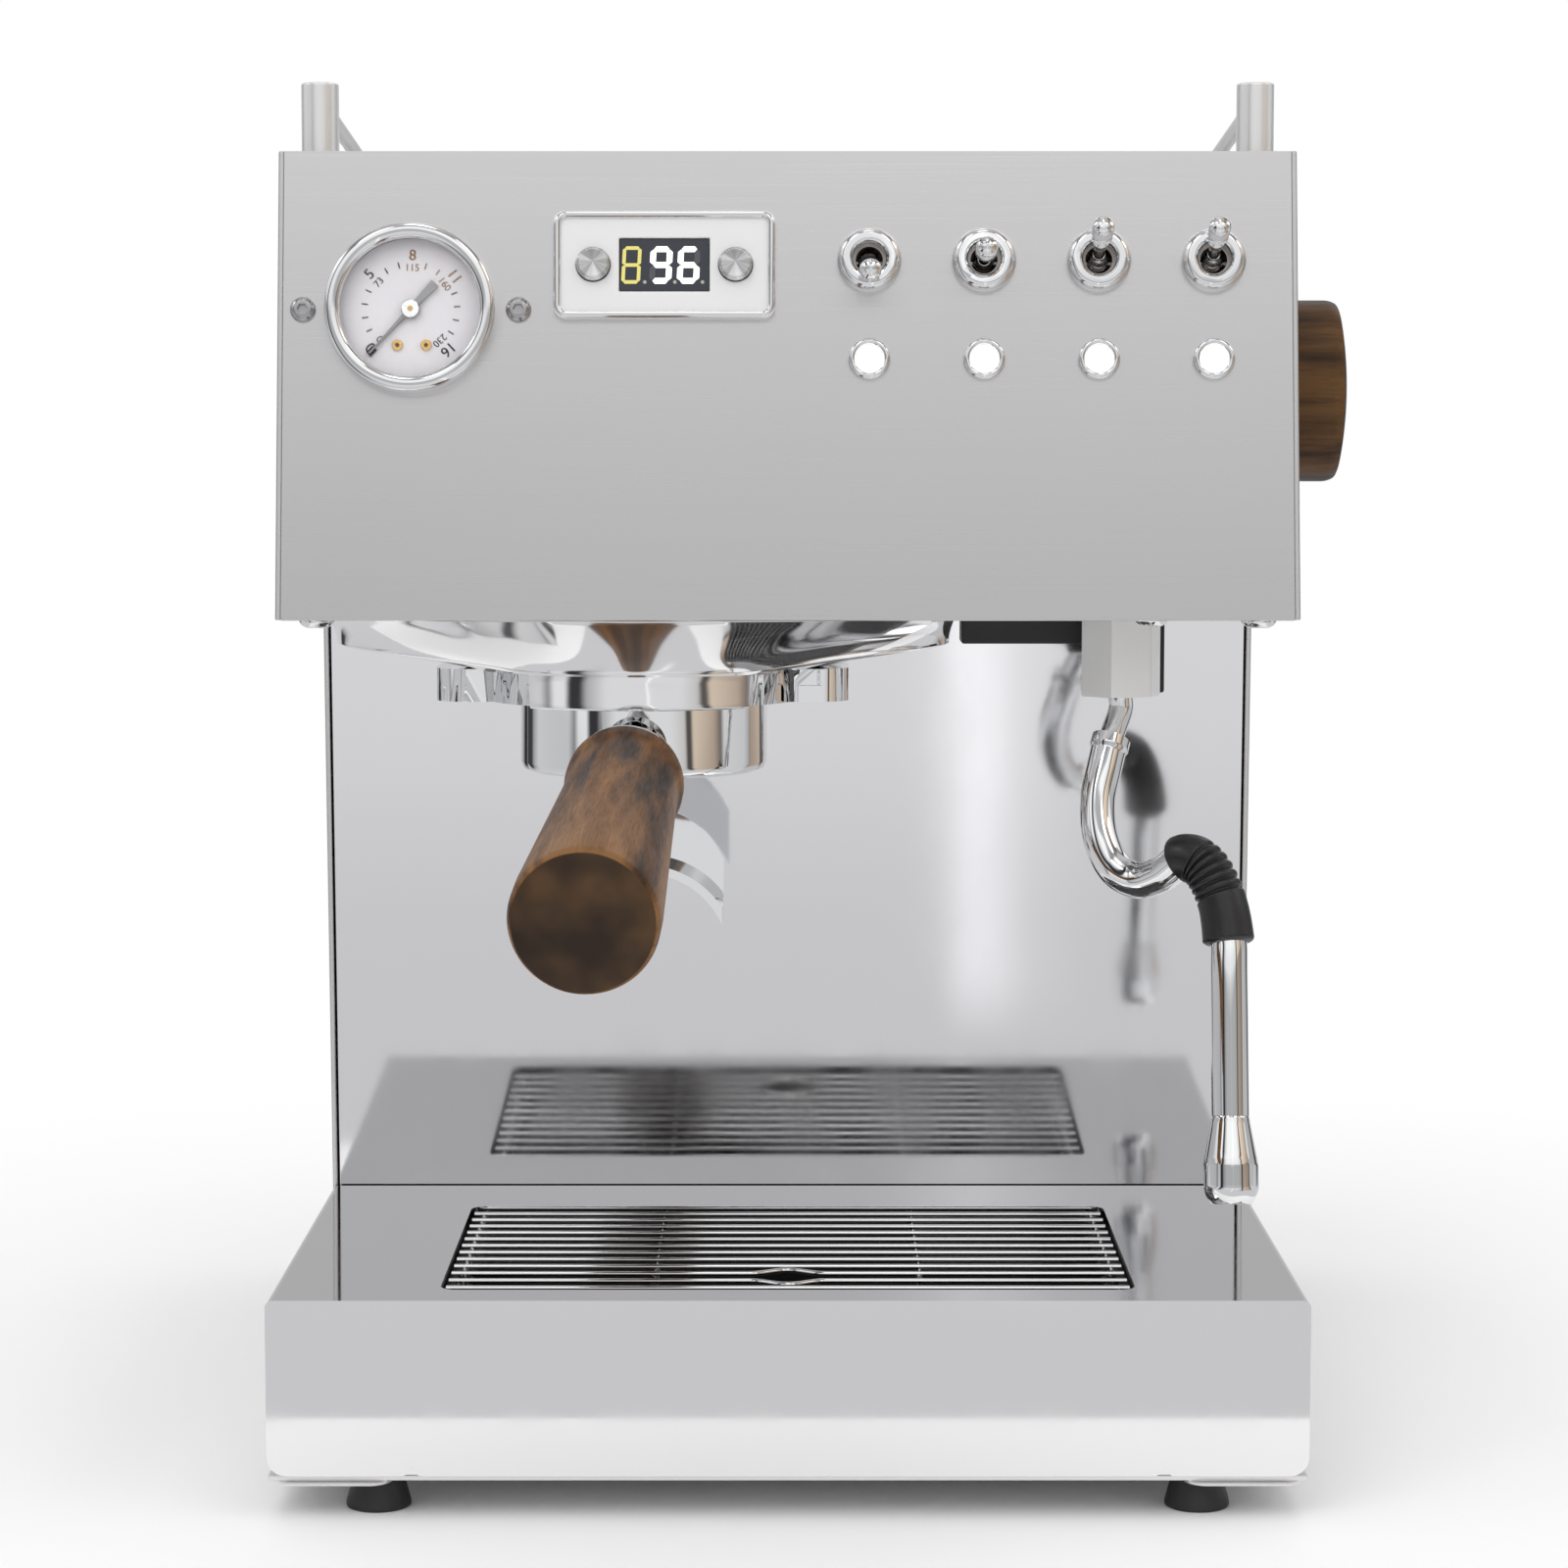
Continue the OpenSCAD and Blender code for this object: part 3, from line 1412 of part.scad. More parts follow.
module drip_tray() {
    color(steel)
        difference() {
            along_y(0, tray_d) translate([0, tray_z]) front_outline(body_w, tray_h, tray_low_r, tray_top_r);
            along_y(sheet_t, tray_d - 2 * sheet_t)
                translate([0, tray_z + sheet_t])
                    front_outline(body_w - 2 * sheet_t, tray_h - 2 * sheet_t, tray_low_r - sheet_t, 0.6);
            translate([0, well_y + well_d / 2, deck_z - sheet_t - eps])
                linear_extrude(sheet_t + 2 * eps)
                    round_rect(well_w, well_d, well_r);
            for (s = [-1, 1])
                along_y(-eps, sheet_t + 2 * eps)
                    translate([s * notch_x, tray_z])
                        polygon([[-2, -eps], [2, -eps], [0, 2]]);
        }
}

module drip_basin() {
    grow = 6;
    bottom = tray_z + sheet_t;
    top = deck_z - sheet_t;
    ledge_z = deck_z - ledge_drop;
    color(black)
        translate([0, well_y + well_d / 2, 0])
            difference() {
                translate([0, 0, bottom])
                    linear_extrude(top - bottom)
                        round_rect(well_w + 2 * grow, well_d + 2 * grow, 10);
                translate([0, 0, bottom + basin_t])
                    linear_extrude(ledge_z - basin_t * 2 - bottom)
                        round_rect(well_w + 2 * grow - 2 * basin_t, well_d + 2 * grow - 2 * basin_t, 8);
                translate([0, 0, bottom + basin_t])
                    linear_extrude(top)
                        round_rect(well_w - 12, well_d - 12, 5);
                translate([0, 0, ledge_z])
                    linear_extrude(top)
                        round_rect(well_w + 2 * grow - 2 * basin_t, well_d + 2 * grow - 2 * basin_t, 8);
            }
}

// one long wire with a bow at its middle, where a finger lifts the grate
module bowed_wire(l, bow) {
    steps = 12;
    path = concat(
        [[-l / 2, 0, 0]],
        [for (i = [0:steps]) let (s = 2 * i / steps - 1) [s * eye_half, bow * (1 + cos(180 * s)) / 2, 0]],
        [[l / 2, 0, 0]]);
    rod_sweep(path, [for (p = path) wire_d / 2], 12);
}

module drip_grate() {
    l = well_w - 2;
    first_y = well_y + well_d - 4.5 - (wire_count - 1) * wire_pitch;
    last_y = well_y + well_d - 4.5;
    cross_z = deck_z - ledge_drop + 0.2 + cross_d / 2;
    wire_z = cross_z + cross_d / 2 + wire_d / 2 - 0.3;
    color(chrome) {
        for (i = [0:wire_count - 1])
            translate([0, first_y + i * wire_pitch, wire_z])
                if (i == 1) bowed_wire(l, -eye_bow);
                else if (i == 2) bowed_wire(l, eye_bow);
                else translate([-l / 2, 0, 0]) rotate([0, 90, 0]) cylinder(r = wire_d / 2, h = l, $fn = 24);
        for (x = [-l / 2 + 3, -cross_x, cross_x, l / 2 - 3])
            translate([x, well_y + 1.5, cross_z])
                rotate([-90, 0, 0])
                    cylinder(r = cross_d / 2, h = last_y + 1.5 - well_y - 1.5, $fn = 24);
    }
}

// ---------- nodes ----------

place() chassis_pan();
place() rubber_feet();
place() side_panel_left();
place() side_panel_right();
place() front_panel();
place() backsplash();
place() head_underside();
place() rear_panel();
place() cup_tray();
place() rail_posts();
place() rail_rods();
place() fascia_screws();
place() underside_screws();
place() group_bell();
place() group_crown();
place() group_gasket();
place() shower_screen();
place() coffee_boiler();
place() steam_boiler();
place() vibration_pump();
place() pump_mounts();
place() solenoid_valve();
place() steam_valve();
place() wand_holder();
place() wand_bracket();
place() gauge_case();
place() gauge_dial();
place() gauge_bezel();
place() gauge_glass();
place() display_frame();
place() display_module();
place() control_board();
place() switch_rings();
place() switch_bodies();
place() lamp_bezels();
place() lamp_lenses();
place() mains_inlet();
place() tank_dock();
place() hoses();
place() portafilter_body();
place() portafilter_handle();
place() filter_basket();
place() spout();
place() power_lever();
place() coffee_lever();
place() water_lever();
place() steam_lever();
place() gauge_needle();
place() minus_button();
place() plus_button();
place() steam_knob();
place() steam_spindle();
place() wand_tube();
place() wand_grip();
place() wand_tip();
place() drip_tray();
place() drip_basin();
place() drip_grate();
place() water_tank();
place() tank_lid();
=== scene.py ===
import json
import math
import bpy
from mathutils import Matrix, Vector

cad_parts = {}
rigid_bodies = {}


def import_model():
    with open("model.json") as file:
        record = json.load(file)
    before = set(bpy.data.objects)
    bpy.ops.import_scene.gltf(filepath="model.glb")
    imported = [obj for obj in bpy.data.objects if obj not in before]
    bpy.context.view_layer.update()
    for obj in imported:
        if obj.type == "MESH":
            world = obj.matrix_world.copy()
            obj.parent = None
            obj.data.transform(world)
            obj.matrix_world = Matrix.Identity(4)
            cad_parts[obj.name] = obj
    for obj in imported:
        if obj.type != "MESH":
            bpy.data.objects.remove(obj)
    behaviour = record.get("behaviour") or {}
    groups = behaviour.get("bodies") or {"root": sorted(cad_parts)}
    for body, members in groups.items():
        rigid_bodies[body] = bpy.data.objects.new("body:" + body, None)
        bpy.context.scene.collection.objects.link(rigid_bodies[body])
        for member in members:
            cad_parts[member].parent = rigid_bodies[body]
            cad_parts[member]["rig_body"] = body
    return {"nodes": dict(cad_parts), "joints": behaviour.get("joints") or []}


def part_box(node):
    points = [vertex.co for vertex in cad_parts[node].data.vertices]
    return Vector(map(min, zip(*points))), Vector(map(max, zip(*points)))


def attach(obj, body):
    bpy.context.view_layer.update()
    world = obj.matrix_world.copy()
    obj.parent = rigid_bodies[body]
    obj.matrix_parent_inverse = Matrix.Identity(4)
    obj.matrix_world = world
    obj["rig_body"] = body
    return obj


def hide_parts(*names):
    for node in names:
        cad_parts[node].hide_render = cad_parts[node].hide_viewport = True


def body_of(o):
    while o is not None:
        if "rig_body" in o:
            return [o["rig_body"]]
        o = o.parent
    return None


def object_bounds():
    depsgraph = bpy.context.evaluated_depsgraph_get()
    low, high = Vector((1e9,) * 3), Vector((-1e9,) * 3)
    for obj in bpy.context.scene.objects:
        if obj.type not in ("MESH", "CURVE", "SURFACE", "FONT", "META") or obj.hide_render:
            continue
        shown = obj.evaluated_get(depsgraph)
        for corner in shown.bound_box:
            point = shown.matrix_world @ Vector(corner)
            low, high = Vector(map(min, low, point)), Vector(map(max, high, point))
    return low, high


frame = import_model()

mm = 0.001
cadBounds = [list(corner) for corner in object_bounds()]
bpy.ops.object.select_all(action="DESELECT")

trayLow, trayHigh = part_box("drip_tray")
middleX = (trayLow.x + trayHigh.x) / 2
frontY = trayLow.y
jointOf = {joint["name"]: joint for joint in frame["joints"]}
headLean = math.asin(-jointOf["minus_press"]["axis"][2])


def fromFront(x, y, z):
    # millimetres right of the middle, behind the tray's front and above the counter
    return Vector((middleX + x * mm, frontY + y * mm, z * mm))


def boxMiddle(node):
    low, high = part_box(node)
    return (low + high) / 2


def onFascia(point):
    # frame on the leaning front: x right, y up the panel, z out of it
    up = Vector((0, math.sin(headLean), math.cos(headLean)))
    out = Vector((0, -math.cos(headLean), math.sin(headLean)))
    turn = Matrix((Vector((1, 0, 0)), up, out)).transposed()
    return Matrix.Translation(point) @ turn.to_4x4()


def deselectAll():
    if bpy.context.object and bpy.context.object.mode != "OBJECT":
        bpy.ops.object.mode_set(mode="OBJECT")
    bpy.ops.object.select_all(action="DESELECT")


def pick(piece):
    deselectAll()
    piece.select_set(True)
    bpy.context.view_layer.objects.active = piece


def nameNew(name):
    piece = bpy.context.object
    piece.name = name
    piece.data.name = name
    return piece


def settle(piece, matrix):
    # puts the piece's place into its mesh
    piece.data.transform(matrix)
    piece.data.update()


def applyModifiers(piece):
    pick(piece)
    for modifier in list(piece.modifiers):
        bpy.ops.object.modifier_apply(modifier=modifier.name)


def paint(piece, material):
    piece.data.materials.clear()
    piece.data.materials.append(material)


def joinPieces(pieces, name):
    deselectAll()
    for piece in pieces:
        piece.select_set(True)
    bpy.context.view_layer.objects.active = pieces[0]
    bpy.ops.object.join()
    return nameNew(name)


def newMaterial(name):
    material = bpy.data.materials.new(name)
    material.use_nodes = True
    tree = material.node_tree
    return material, tree, tree.nodes["Principled BSDF"]


def addNode(tree, kind, **values):
    node = tree.nodes.new(kind)
    for key, value in values.items():
        setattr(node, key, value)
    return node


def feed(tree, socket, value):
    # a socket takes another node's output or a fixed value
    if isinstance(value, bpy.types.NodeSocket):
        tree.links.new(value, socket)
    else:
        socket.default_value = value


def mathOf(tree, operation, *values):
    node = addNode(tree, "ShaderNodeMath", operation=operation)
    for socket, value in zip(node.inputs, values):
        feed(tree, socket, value)
    return node.outputs[0]


def vectorOf(tree, operation, *values):
    node = addNode(tree, "ShaderNodeVectorMath", operation=operation)
    for socket, value in zip(node.inputs, values):
        feed(tree, socket, value)
    return node.outputs["Value" if operation in ("DOT_PRODUCT", "LENGTH") else "Vector"]


def mixOf(tree, share, first, second, blend="MIX"):
    node = addNode(tree, "ShaderNodeMix", data_type="RGBA", blend_type=blend)
    for index, value in zip((0, 6, 7), (share, first, second)):
        feed(tree, node.inputs[index], value)
    return node.outputs[2]


def mixShaders(tree, share, first, second):
    node = addNode(tree, "ShaderNodeMixShader")
    for socket, value in zip(node.inputs, (share, first, second)):
        tree.links.new(value, socket)
    return node.outputs[0]


def shadesOf(colour, shift):
    # a little darker and a little paler than a colour
    return [[min(part * share, 1) for part in colour] for share in (1 - shift, 1 + shift)]


def scaledPattern(tree, scale):
    coords = addNode(tree, "ShaderNodeTexCoord")
    mapping = addNode(tree, "ShaderNodeMapping")
    mapping.inputs["Scale"].default_value = scale
    tree.links.new(coords.outputs["Object"], mapping.inputs["Vector"])
    return mapping.outputs["Vector"]


def alongPattern(tree, centre, axis, stretch):
    # object coordinates about a centre, drawn out along an axis
    coords = addNode(tree, "ShaderNodeTexCoord")
    mapping = addNode(tree, "ShaderNodeMapping", vector_type="TEXTURE")
    mapping.inputs["Location"].default_value = centre
    mapping.inputs["Rotation"].default_value = Vector(axis).to_track_quat("Z", "Y").to_euler()
    mapping.inputs["Scale"].default_value = (1, 1, stretch)
    tree.links.new(coords.outputs["Object"], mapping.inputs["Vector"])
    return mapping.outputs["Vector"]


def noiseOf(tree, vector, scale, detail=3, roughness=0.5):
    noise = addNode(tree, "ShaderNodeTexNoise")
    noise.inputs["Scale"].default_value = scale
    noise.inputs["Detail"].default_value = detail
    noise.inputs["Roughness"].default_value = roughness
    tree.links.new(vector, noise.inputs["Vector"])
    return noise.outputs["Fac"]


def spread(tree, value, low, high, fromLow=0.3, fromHigh=0.7):
    span = addNode(tree, "ShaderNodeMapRange")
    span.inputs["From Min"].default_value = fromLow
    span.inputs["From Max"].default_value = fromHigh
    span.inputs["To Min"].default_value = low
    span.inputs["To Max"].default_value = high
    tree.links.new(value, span.inputs["Value"])
    return span.outputs["Result"]


def blendColours(tree, value, stops):
    # a stop is a place with a colour, or with one number for an even grey
    ramp = addNode(tree, "ShaderNodeValToRGB")
    shades = [(place, (*([colour] * 3 if isinstance(colour, float) else colour), 1)) for place, colour in stops]
    first, last = ramp.color_ramp.elements
    first.position, first.color = shades[0]
    last.position, last.color = shades[-1]
    for place, shade in shades[1:-1]:
        ramp.color_ramp.elements.new(place).color = shade
    tree.links.new(value, ramp.inputs["Fac"])
    return ramp.outputs["Color"]


def addBump(tree, shader, height, strength, distance):
    bump = addNode(tree, "ShaderNodeBump")
    bump.inputs["Strength"].default_value = strength
    bump.inputs["Distance"].default_value = distance
    tree.links.new(height, bump.inputs["Height"])
    tree.links.new(bump.outputs["Normal"], shader.inputs["Normal"])


# fine lines along one axis of the sheet, as the rolling mill and belt leave them
brushing = {"alongScale": 10, "acrossScale": 3200, "cloudScale": 9, "lineBump": 0.01, "lineDepth": 0.00002,
            "toneShift": 0.009, "glossShift": 0.03, "lineTone": 0.5, "toneFrom": (0.45, 1.05)}


def brushedMetal(name, colour, roughness, alongAxis, anisotropy=0.5, lineShare=1.0):
    material, tree, shader = newMaterial(name)
    scale = [brushing["acrossScale"]] * 3
    scale[alongAxis] = brushing["alongScale"]
    lines = noiseOf(tree, scaledPattern(tree, scale), 1, 2, 0.6)
    clouds = noiseOf(tree, scaledPattern(tree, [brushing["cloudScale"]] * 3), 1, 3)
    gloss = brushing["glossShift"] * lineShare
    tree.links.new(spread(tree, lines, roughness - gloss, roughness + gloss), shader.inputs["Roughness"])
    both = mathOf(tree, "MULTIPLY_ADD", lines, brushing["lineTone"] * lineShare, clouds)
    darker, paler = shadesOf(colour, brushing["toneShift"])
    tone = mixOf(tree, spread(tree, both, 0, 1, *brushing["toneFrom"]), (*darker, 1), (*paler, 1))
    tree.links.new(tone, shader.inputs["Base Color"])
    shader.inputs["Metallic"].default_value = 1
    shader.inputs["Anisotropic"].default_value = anisotropy
    axis = addNode(tree, "ShaderNodeCombineXYZ")
    axis.inputs[alongAxis].default_value = 1
    tree.links.new(axis.outputs[0], shader.inputs["Tangent"])
    addBump(tree, shader, lines, brushing["lineBump"] * lineShare, brushing["lineDepth"])
    return material


def polishedMetal(name, colour, roughness, wave=0.0):
    # mirror polish with faint wipe marks
    material, tree, shader = newMaterial(name)
    wipes = noiseOf(tree, scaledPattern(tree, (60, 60, 25)), 1, 4, 0.6)
    tree.links.new(spread(tree, wipes, roughness, roughness * 1.8 + 0.01), shader.inputs["Roughness"])
    shader.inputs["Base Color"].default_value = (*colour, 1)
    shader.inputs["Metallic"].default_value = 1
    if wave:
        swell = noiseOf(tree, scaledPattern(tree, (42, 42, 60)), 1, 1)
        addBump(tree, shader, swell, wave, 0.001)
    return material


def mouldedPlastic(name, colour, roughness, grain=900, coat=0.0, mottle=0.09):
    material, tree, shader = newMaterial(name)
    pattern = scaledPattern(tree, (1, 1, 1))
    speckle = noiseOf(tree, pattern, grain, 2)
    smears = noiseOf(tree, pattern, 45, 3)
    tree.links.new(spread(tree, smears, roughness - 0.05, roughness + 0.07), shader.inputs["Roughness"])
    darker, paler = shadesOf(colour, mottle)
    tree.links.new(blendColours(tree, speckle, [(0.3, darker), (0.7, paler)]), shader.inputs["Base Color"])
    shader.inputs["Coat Weight"].default_value = coat
    addBump(tree, shader, speckle, 0.12, 0.00005)
    return material


# long soft streaks along the grain, with pores in them and darker end grain
walnut = {"stretch": 7, "broadScale": 95, "fineScale": 480, "fineShare": 0.3, "poreStretch": 16, "poreScale": 1900,
          "poreShare": 0.25, "endScale": 70, "endFrom": (0.7, 0.9),
          "streaks": [(0.47, (0.022, 0.013, 0.008)), (0.56, (0.062, 0.032, 0.013)), (0.66, (0.112, 0.058, 0.022)),
                      (0.78, (0.165, 0.090, 0.034))],
          "pores": [(0.36, (0.4, 0.35, 0.32)), (0.5, (1, 1, 1))],
          "ends": [(0.34, (0.026, 0.015, 0.010)), (0.5, (0.044, 0.025, 0.013)), (0.66, (0.078, 0.041, 0.018))]}


def walnutWood(name, centre, axis, tone):
    material, tree, shader = newMaterial(name)
    streakSpace = alongPattern(tree, centre, axis, walnut["stretch"])
    broad = noiseOf(tree, streakSpace, walnut["broadScale"], 2, 0.5)
    fine = noiseOf(tree, streakSpace, walnut["fineScale"], 2, 0.5)
    total = mathOf(tree, "MULTIPLY_ADD", fine, walnut["fineShare"], broad)
    colour = blendColours(tree, total, [
        (place, [part * share for part, share in zip(shade, tone)]) for place, shade in walnut["streaks"]])
    poreSpace = alongPattern(tree, centre, axis, walnut["poreStretch"])
    pores = noiseOf(tree, poreSpace, walnut["poreScale"], 2, 0.6)
    dark = mixOf(tree, walnut["poreShare"], colour, blendColours(tree, pores, walnut["pores"]), "MULTIPLY")
    surface = addNode(tree, "ShaderNodeNewGeometry")
    facing = vectorOf(tree, "DOT_PRODUCT", surface.outputs["Normal"], axis)
    clouds = noiseOf(tree, scaledPattern(tree, (1, 1, 1)), walnut["endScale"], 2, 0.5)
    endGrain = blendColours(tree, clouds, walnut["ends"])
    turned = mixOf(tree, spread(tree, facing, 0, 1, *walnut["endFrom"]), dark, endGrain)
    tree.links.new(turned, shader.inputs["Base Color"])
    tree.links.new(spread(tree, pores, 0.48, 0.36), shader.inputs["Roughness"])
    shader.inputs["Specular IOR Level"].default_value = 0.2
    addBump(tree, shader, pores, 0.1, 0.00005)
    return material


def litMaterial(name, colour, strength):
    # a glowing face with a slight fall-off in its clouded plastic
    material, tree, shader = newMaterial(name)
    cloud = noiseOf(tree, scaledPattern(tree, (1, 1, 1)), 260, 2)
    shade = [(0.2, [c * 0.93 for c in colour]), (0.8, colour)]
    tree.links.new(blendColours(tree, cloud, shade), shader.inputs["Emission Color"])
    shader.inputs["Emission Strength"].default_value = strength
    shader.inputs["Base Color"].default_value = (*[c * 0.5 for c in colour], 1)
    shader.inputs["Roughness"].default_value = 0.3
    return material


def clearPlastic(name, colour, roughness, alpha):
    material, tree, shader = newMaterial(name)
    smear = noiseOf(tree, scaledPattern(tree, (1, 1, 1)), 60, 3)
    tree.links.new(spread(tree, smear, roughness, roughness + 0.04), shader.inputs["Roughness"])
    shader.inputs["Base Color"].default_value = (*colour, 1)
    shader.inputs["Transmission Weight"].default_value = 1
    shader.inputs["IOR"].default_value = 1.46
    shader.inputs["Alpha"].default_value = alpha
    return material


def spunMetal(name, centre, axis, colour):
    # turned face: the cut runs round the centre, so its anisotropic shine follows the turn; the base colour also
    # carries painted highlight and painted shade, paler and darker by turn round the centre
    material, tree, shader = newMaterial(name)
    coords = addNode(tree, "ShaderNodeTexCoord")
    arm = vectorOf(tree, "SUBTRACT", coords.outputs["Object"], centre)
    around = vectorOf(tree, "NORMALIZE", vectorOf(tree, "CROSS_PRODUCT", arm, axis))
    tree.links.new(around, shader.inputs["Tangent"])
    # painted highlight and painted shade: the colour is paler at some turns round the centre and darker at others
    paintedShineSectors = noiseOf(tree, around, 1.7, 2)
    shade = [(0.35, [c * 0.62 for c in colour]), (0.65, [min(c * 1.15, 1) for c in colour])]
    tree.links.new(blendColours(tree, paintedShineSectors, shade), shader.inputs["Base Color"])
    grooves = noiseOf(tree, vectorOf(tree, "LENGTH", arm), 9000, 1)
    addBump(tree, shader, grooves, 0.2, 0.00002)
    shader.inputs["Metallic"].default_value = 1
    shader.inputs["Roughness"].default_value = 0.28
    shader.inputs["Anisotropic"].default_value = 0.85
    return material


brushedSheet = brushedMetal("brushed_sheet", (0.80, 0.79, 0.795), 0.3, 0)
sideSheet = brushedMetal("brushed_side_sheet", (0.72, 0.715, 0.715), 0.33, 1)
switchSocket = polishedMetal("switch_socket", (0.4, 0.37, 0.35), 0.22)
screwSteel = polishedMetal("screw_steel", (0.5, 0.5, 0.51), 0.14)
holderSteel = brushedMetal("brushed_holder", (0.86, 0.86, 0.85), 0.36, 2)
postSteel = brushedMetal("brushed_post", (0.94, 0.94, 0.93), 0.34, 2, 0.3)
mirrorSheet = polishedMetal("mirror_sheet", (0.85, 0.85, 0.865), 0.045, 0.01)
deckSheet = polishedMetal("deck_sheet", (0.87, 0.87, 0.875), 0.04)
chromePlate = polishedMetal("chrome_plate", (0.86, 0.865, 0.87), 0.025)
bellChrome = polishedMetal("bell_chrome", (0.88, 0.88, 0.885), 0.055, 0.3)
wandChrome = polishedMetal("wand_chrome", (0.86, 0.865, 0.87), 0.02)
wireChrome = polishedMetal("wire_chrome", (0.8, 0.8, 0.8), 0.06)
satinPlate = brushedMetal("satin_plate", (0.9, 0.9, 0.9), 0.42, 0, 0.2, 0.4)
basketSteel = polishedMetal("basket_steel", (0.7, 0.7, 0.7), 0.16)
castBrass = polishedMetal("cast_brass", (0.62, 0.45, 0.22), 0.3)
castSteel = polishedMetal("cast_steel", (0.56, 0.56, 0.57), 0.34)
needleMetal = brushedMetal("needle_metal", (0.36, 0.36, 0.36), 0.35, 0, 0.2, 0.5)
blackRubber = mouldedPlastic("black_rubber", (0.018, 0.018, 0.019), 0.5, 1400)
gripRubber = mouldedPlastic("grip_rubber", (0.012, 0.012, 0.013), 0.33, 1400)
displayWindow = mouldedPlastic("display_window", (0.032, 0.036, 0.046), 0.22, mottle=0.03)
blackPlastic = mouldedPlastic("black_plastic", (0.012, 0.012, 0.013), 0.42, 1600)
boardGreen = mouldedPlastic("board_green", (0.012, 0.12, 0.05), 0.35, 500, 0.4)
hoseWhite = mouldedPlastic("hose_white", (0.7, 0.7, 0.67), 0.35)
dialWhite = mouldedPlastic("dial_white", (0.84, 0.82, 0.85), 0.5, mottle=0.012)
gaugeGlass = clearPlastic("gauge_glass_clear", (1, 1, 1), 0.0, 0.25)
tankPlastic = clearPlastic("tank_plastic_clear", (0.78, 0.82, 0.84), 0.12, 0.9)
lampGlow = litMaterial("lamp_glow", (1, 1, 1), 0.85)
lampHousing = polishedMetal("lamp_housing", (0.82, 0.825, 0.83), 0.05)
for sheet, metallic in ((satinPlate, 0.55), (postSteel, 0.75), (holderSteel, 0.6)):
    sheet.node_tree.nodes["Principled BSDF"].inputs["Metallic"].default_value = metallic
print("materials made")

handleMiddle = boxMiddle("portafilter_handle")
groupMiddle = boxMiddle("group_gasket")
armDirection = handleMiddle - groupMiddle
handleTurn = math.atan2(armDirection.x, -armDirection.y)
handleSlope = math.radians(9)
handleWood = walnutWood("walnut_handle", handleMiddle, (
    math.sin(handleTurn), -math.cos(handleTurn) * math.cos(handleSlope), -math.sin(handleSlope)),
    (1.32, 1.15, 1.0))
knobWood = walnutWood("walnut_knob", boxMiddle("steam_knob"), (1, 0, 0), (0.72, 0.64, 0.55))

finishOf = {
    brushedSheet: ["chassis_pan", "front_panel", "head_underside", "rear_panel", "cup_tray"],
    sideSheet: ["side_panel_left", "side_panel_right"],
    holderSteel: ["wand_holder"],
    postSteel: ["rail_posts", "rail_rods"],
    mirrorSheet: ["backsplash"],
    deckSheet: ["drip_tray"],
    screwSteel: ["fascia_screws"],
    chromePlate: ["group_bell", "group_crown", "portafilter_body", "spout", "power_lever", "coffee_lever",
                  "water_lever", "steam_lever", "wand_tube", "wand_tip", "switch_rings", "gauge_bezel",
                  "underside_screws"],
    wireChrome: ["drip_grate"],
    satinPlate: ["display_frame"],
    basketSteel: ["filter_basket", "shower_screen"],
    castBrass: ["coffee_boiler", "vibration_pump", "steam_valve"],
    castSteel: ["steam_boiler", "solenoid_valve", "steam_spindle"],
    needleMetal: ["gauge_needle"],
    blackRubber: ["rubber_feet", "group_gasket", "pump_mounts", "wand_grip"],
    blackPlastic: ["wand_bracket", "gauge_case", "mains_inlet", "tank_dock", "drip_basin", "tank_lid"],
    displayWindow: ["display_module"],
    switchSocket: ["switch_bodies"],
    boardGreen: ["control_board"],
    hoseWhite: ["hoses"],
    dialWhite: ["gauge_dial"],
    gaugeGlass: ["gauge_glass"],
    tankPlastic: ["water_tank"],
    lampGlow: ["lamp_lenses"],
    lampHousing: ["lamp_bezels"],
    handleWood: ["portafilter_handle"],
    knobWood: ["steam_knob"],
}
for material, names in finishOf.items():
    for name in names:
        paint(frame["nodes"][name], material)
for name in ("minus_button", "plus_button"):
    buttonAxis = jointOf["minus_press"]["axis"]
    paint(frame["nodes"][name], spunMetal("spun_" + name, boxMiddle(name), buttonAxis, (0.8, 0.8, 0.8)))
print("nodes painted")

# how wide each piece's edges are broken, in millimetres, and how far round its faces still shade as one
edges = {
    "chassis_pan": (0.3, 40), "rubber_feet": (0.5, 40), "side_panel_left": (0.35, 40),
    "side_panel_right": (0.35, 40), "front_panel": (0.4, 40), "backsplash": (0.25, 40),
    "head_underside": (0.2, 40), "rear_panel": (0.25, 40), "cup_tray": (0.35, 40), "rail_posts": (0.35, 40),
    "rail_rods": (0, 50), "fascia_screws": (0.3, 40), "underside_screws": (0.3, 40),
    "group_crown": (0.9, 40), "wand_holder": (0.5, 35), "wand_bracket": (0.6, 40), "gauge_case": (0.2, 40),
    "gauge_bezel": (0.35, 50), "display_frame": (0.35, 40), "display_module": (0.15, 40),
    "switch_rings": (0.5, 45), "lamp_bezels": (0.45, 45), "lamp_lenses": (0.2, 50),
    "mains_inlet": (0.4, 40), "portafilter_body": (0.6, 45), "filter_basket": (0.15, 45),
    "spout": (0.5, 45), "power_lever": (0.2, 50), "coffee_lever": (0.2, 50), "water_lever": (0.2, 50),
    "steam_lever": (0.2, 50), "gauge_needle": (0, 40), "minus_button": (0.4, 45), "plus_button": (0.4, 45),
    "portafilter_handle": (0.5, 45), "steam_knob": (0.6, 45), "steam_spindle": (0.3, 45), "wand_tip": (0.25, 40),
    "drip_tray": (0.5, 40), "drip_basin": (0.4, 40), "drip_grate": (0, 60), "tank_lid": (0.5, 40),
    "water_tank": (0.5, 40), "shower_screen": (0.1, 40),
}
# welds in metres, angles in degrees
softening = {"weld": 0.000002, "flatWithin": 0.6, "segments": 2, "bevelFrom": 35}


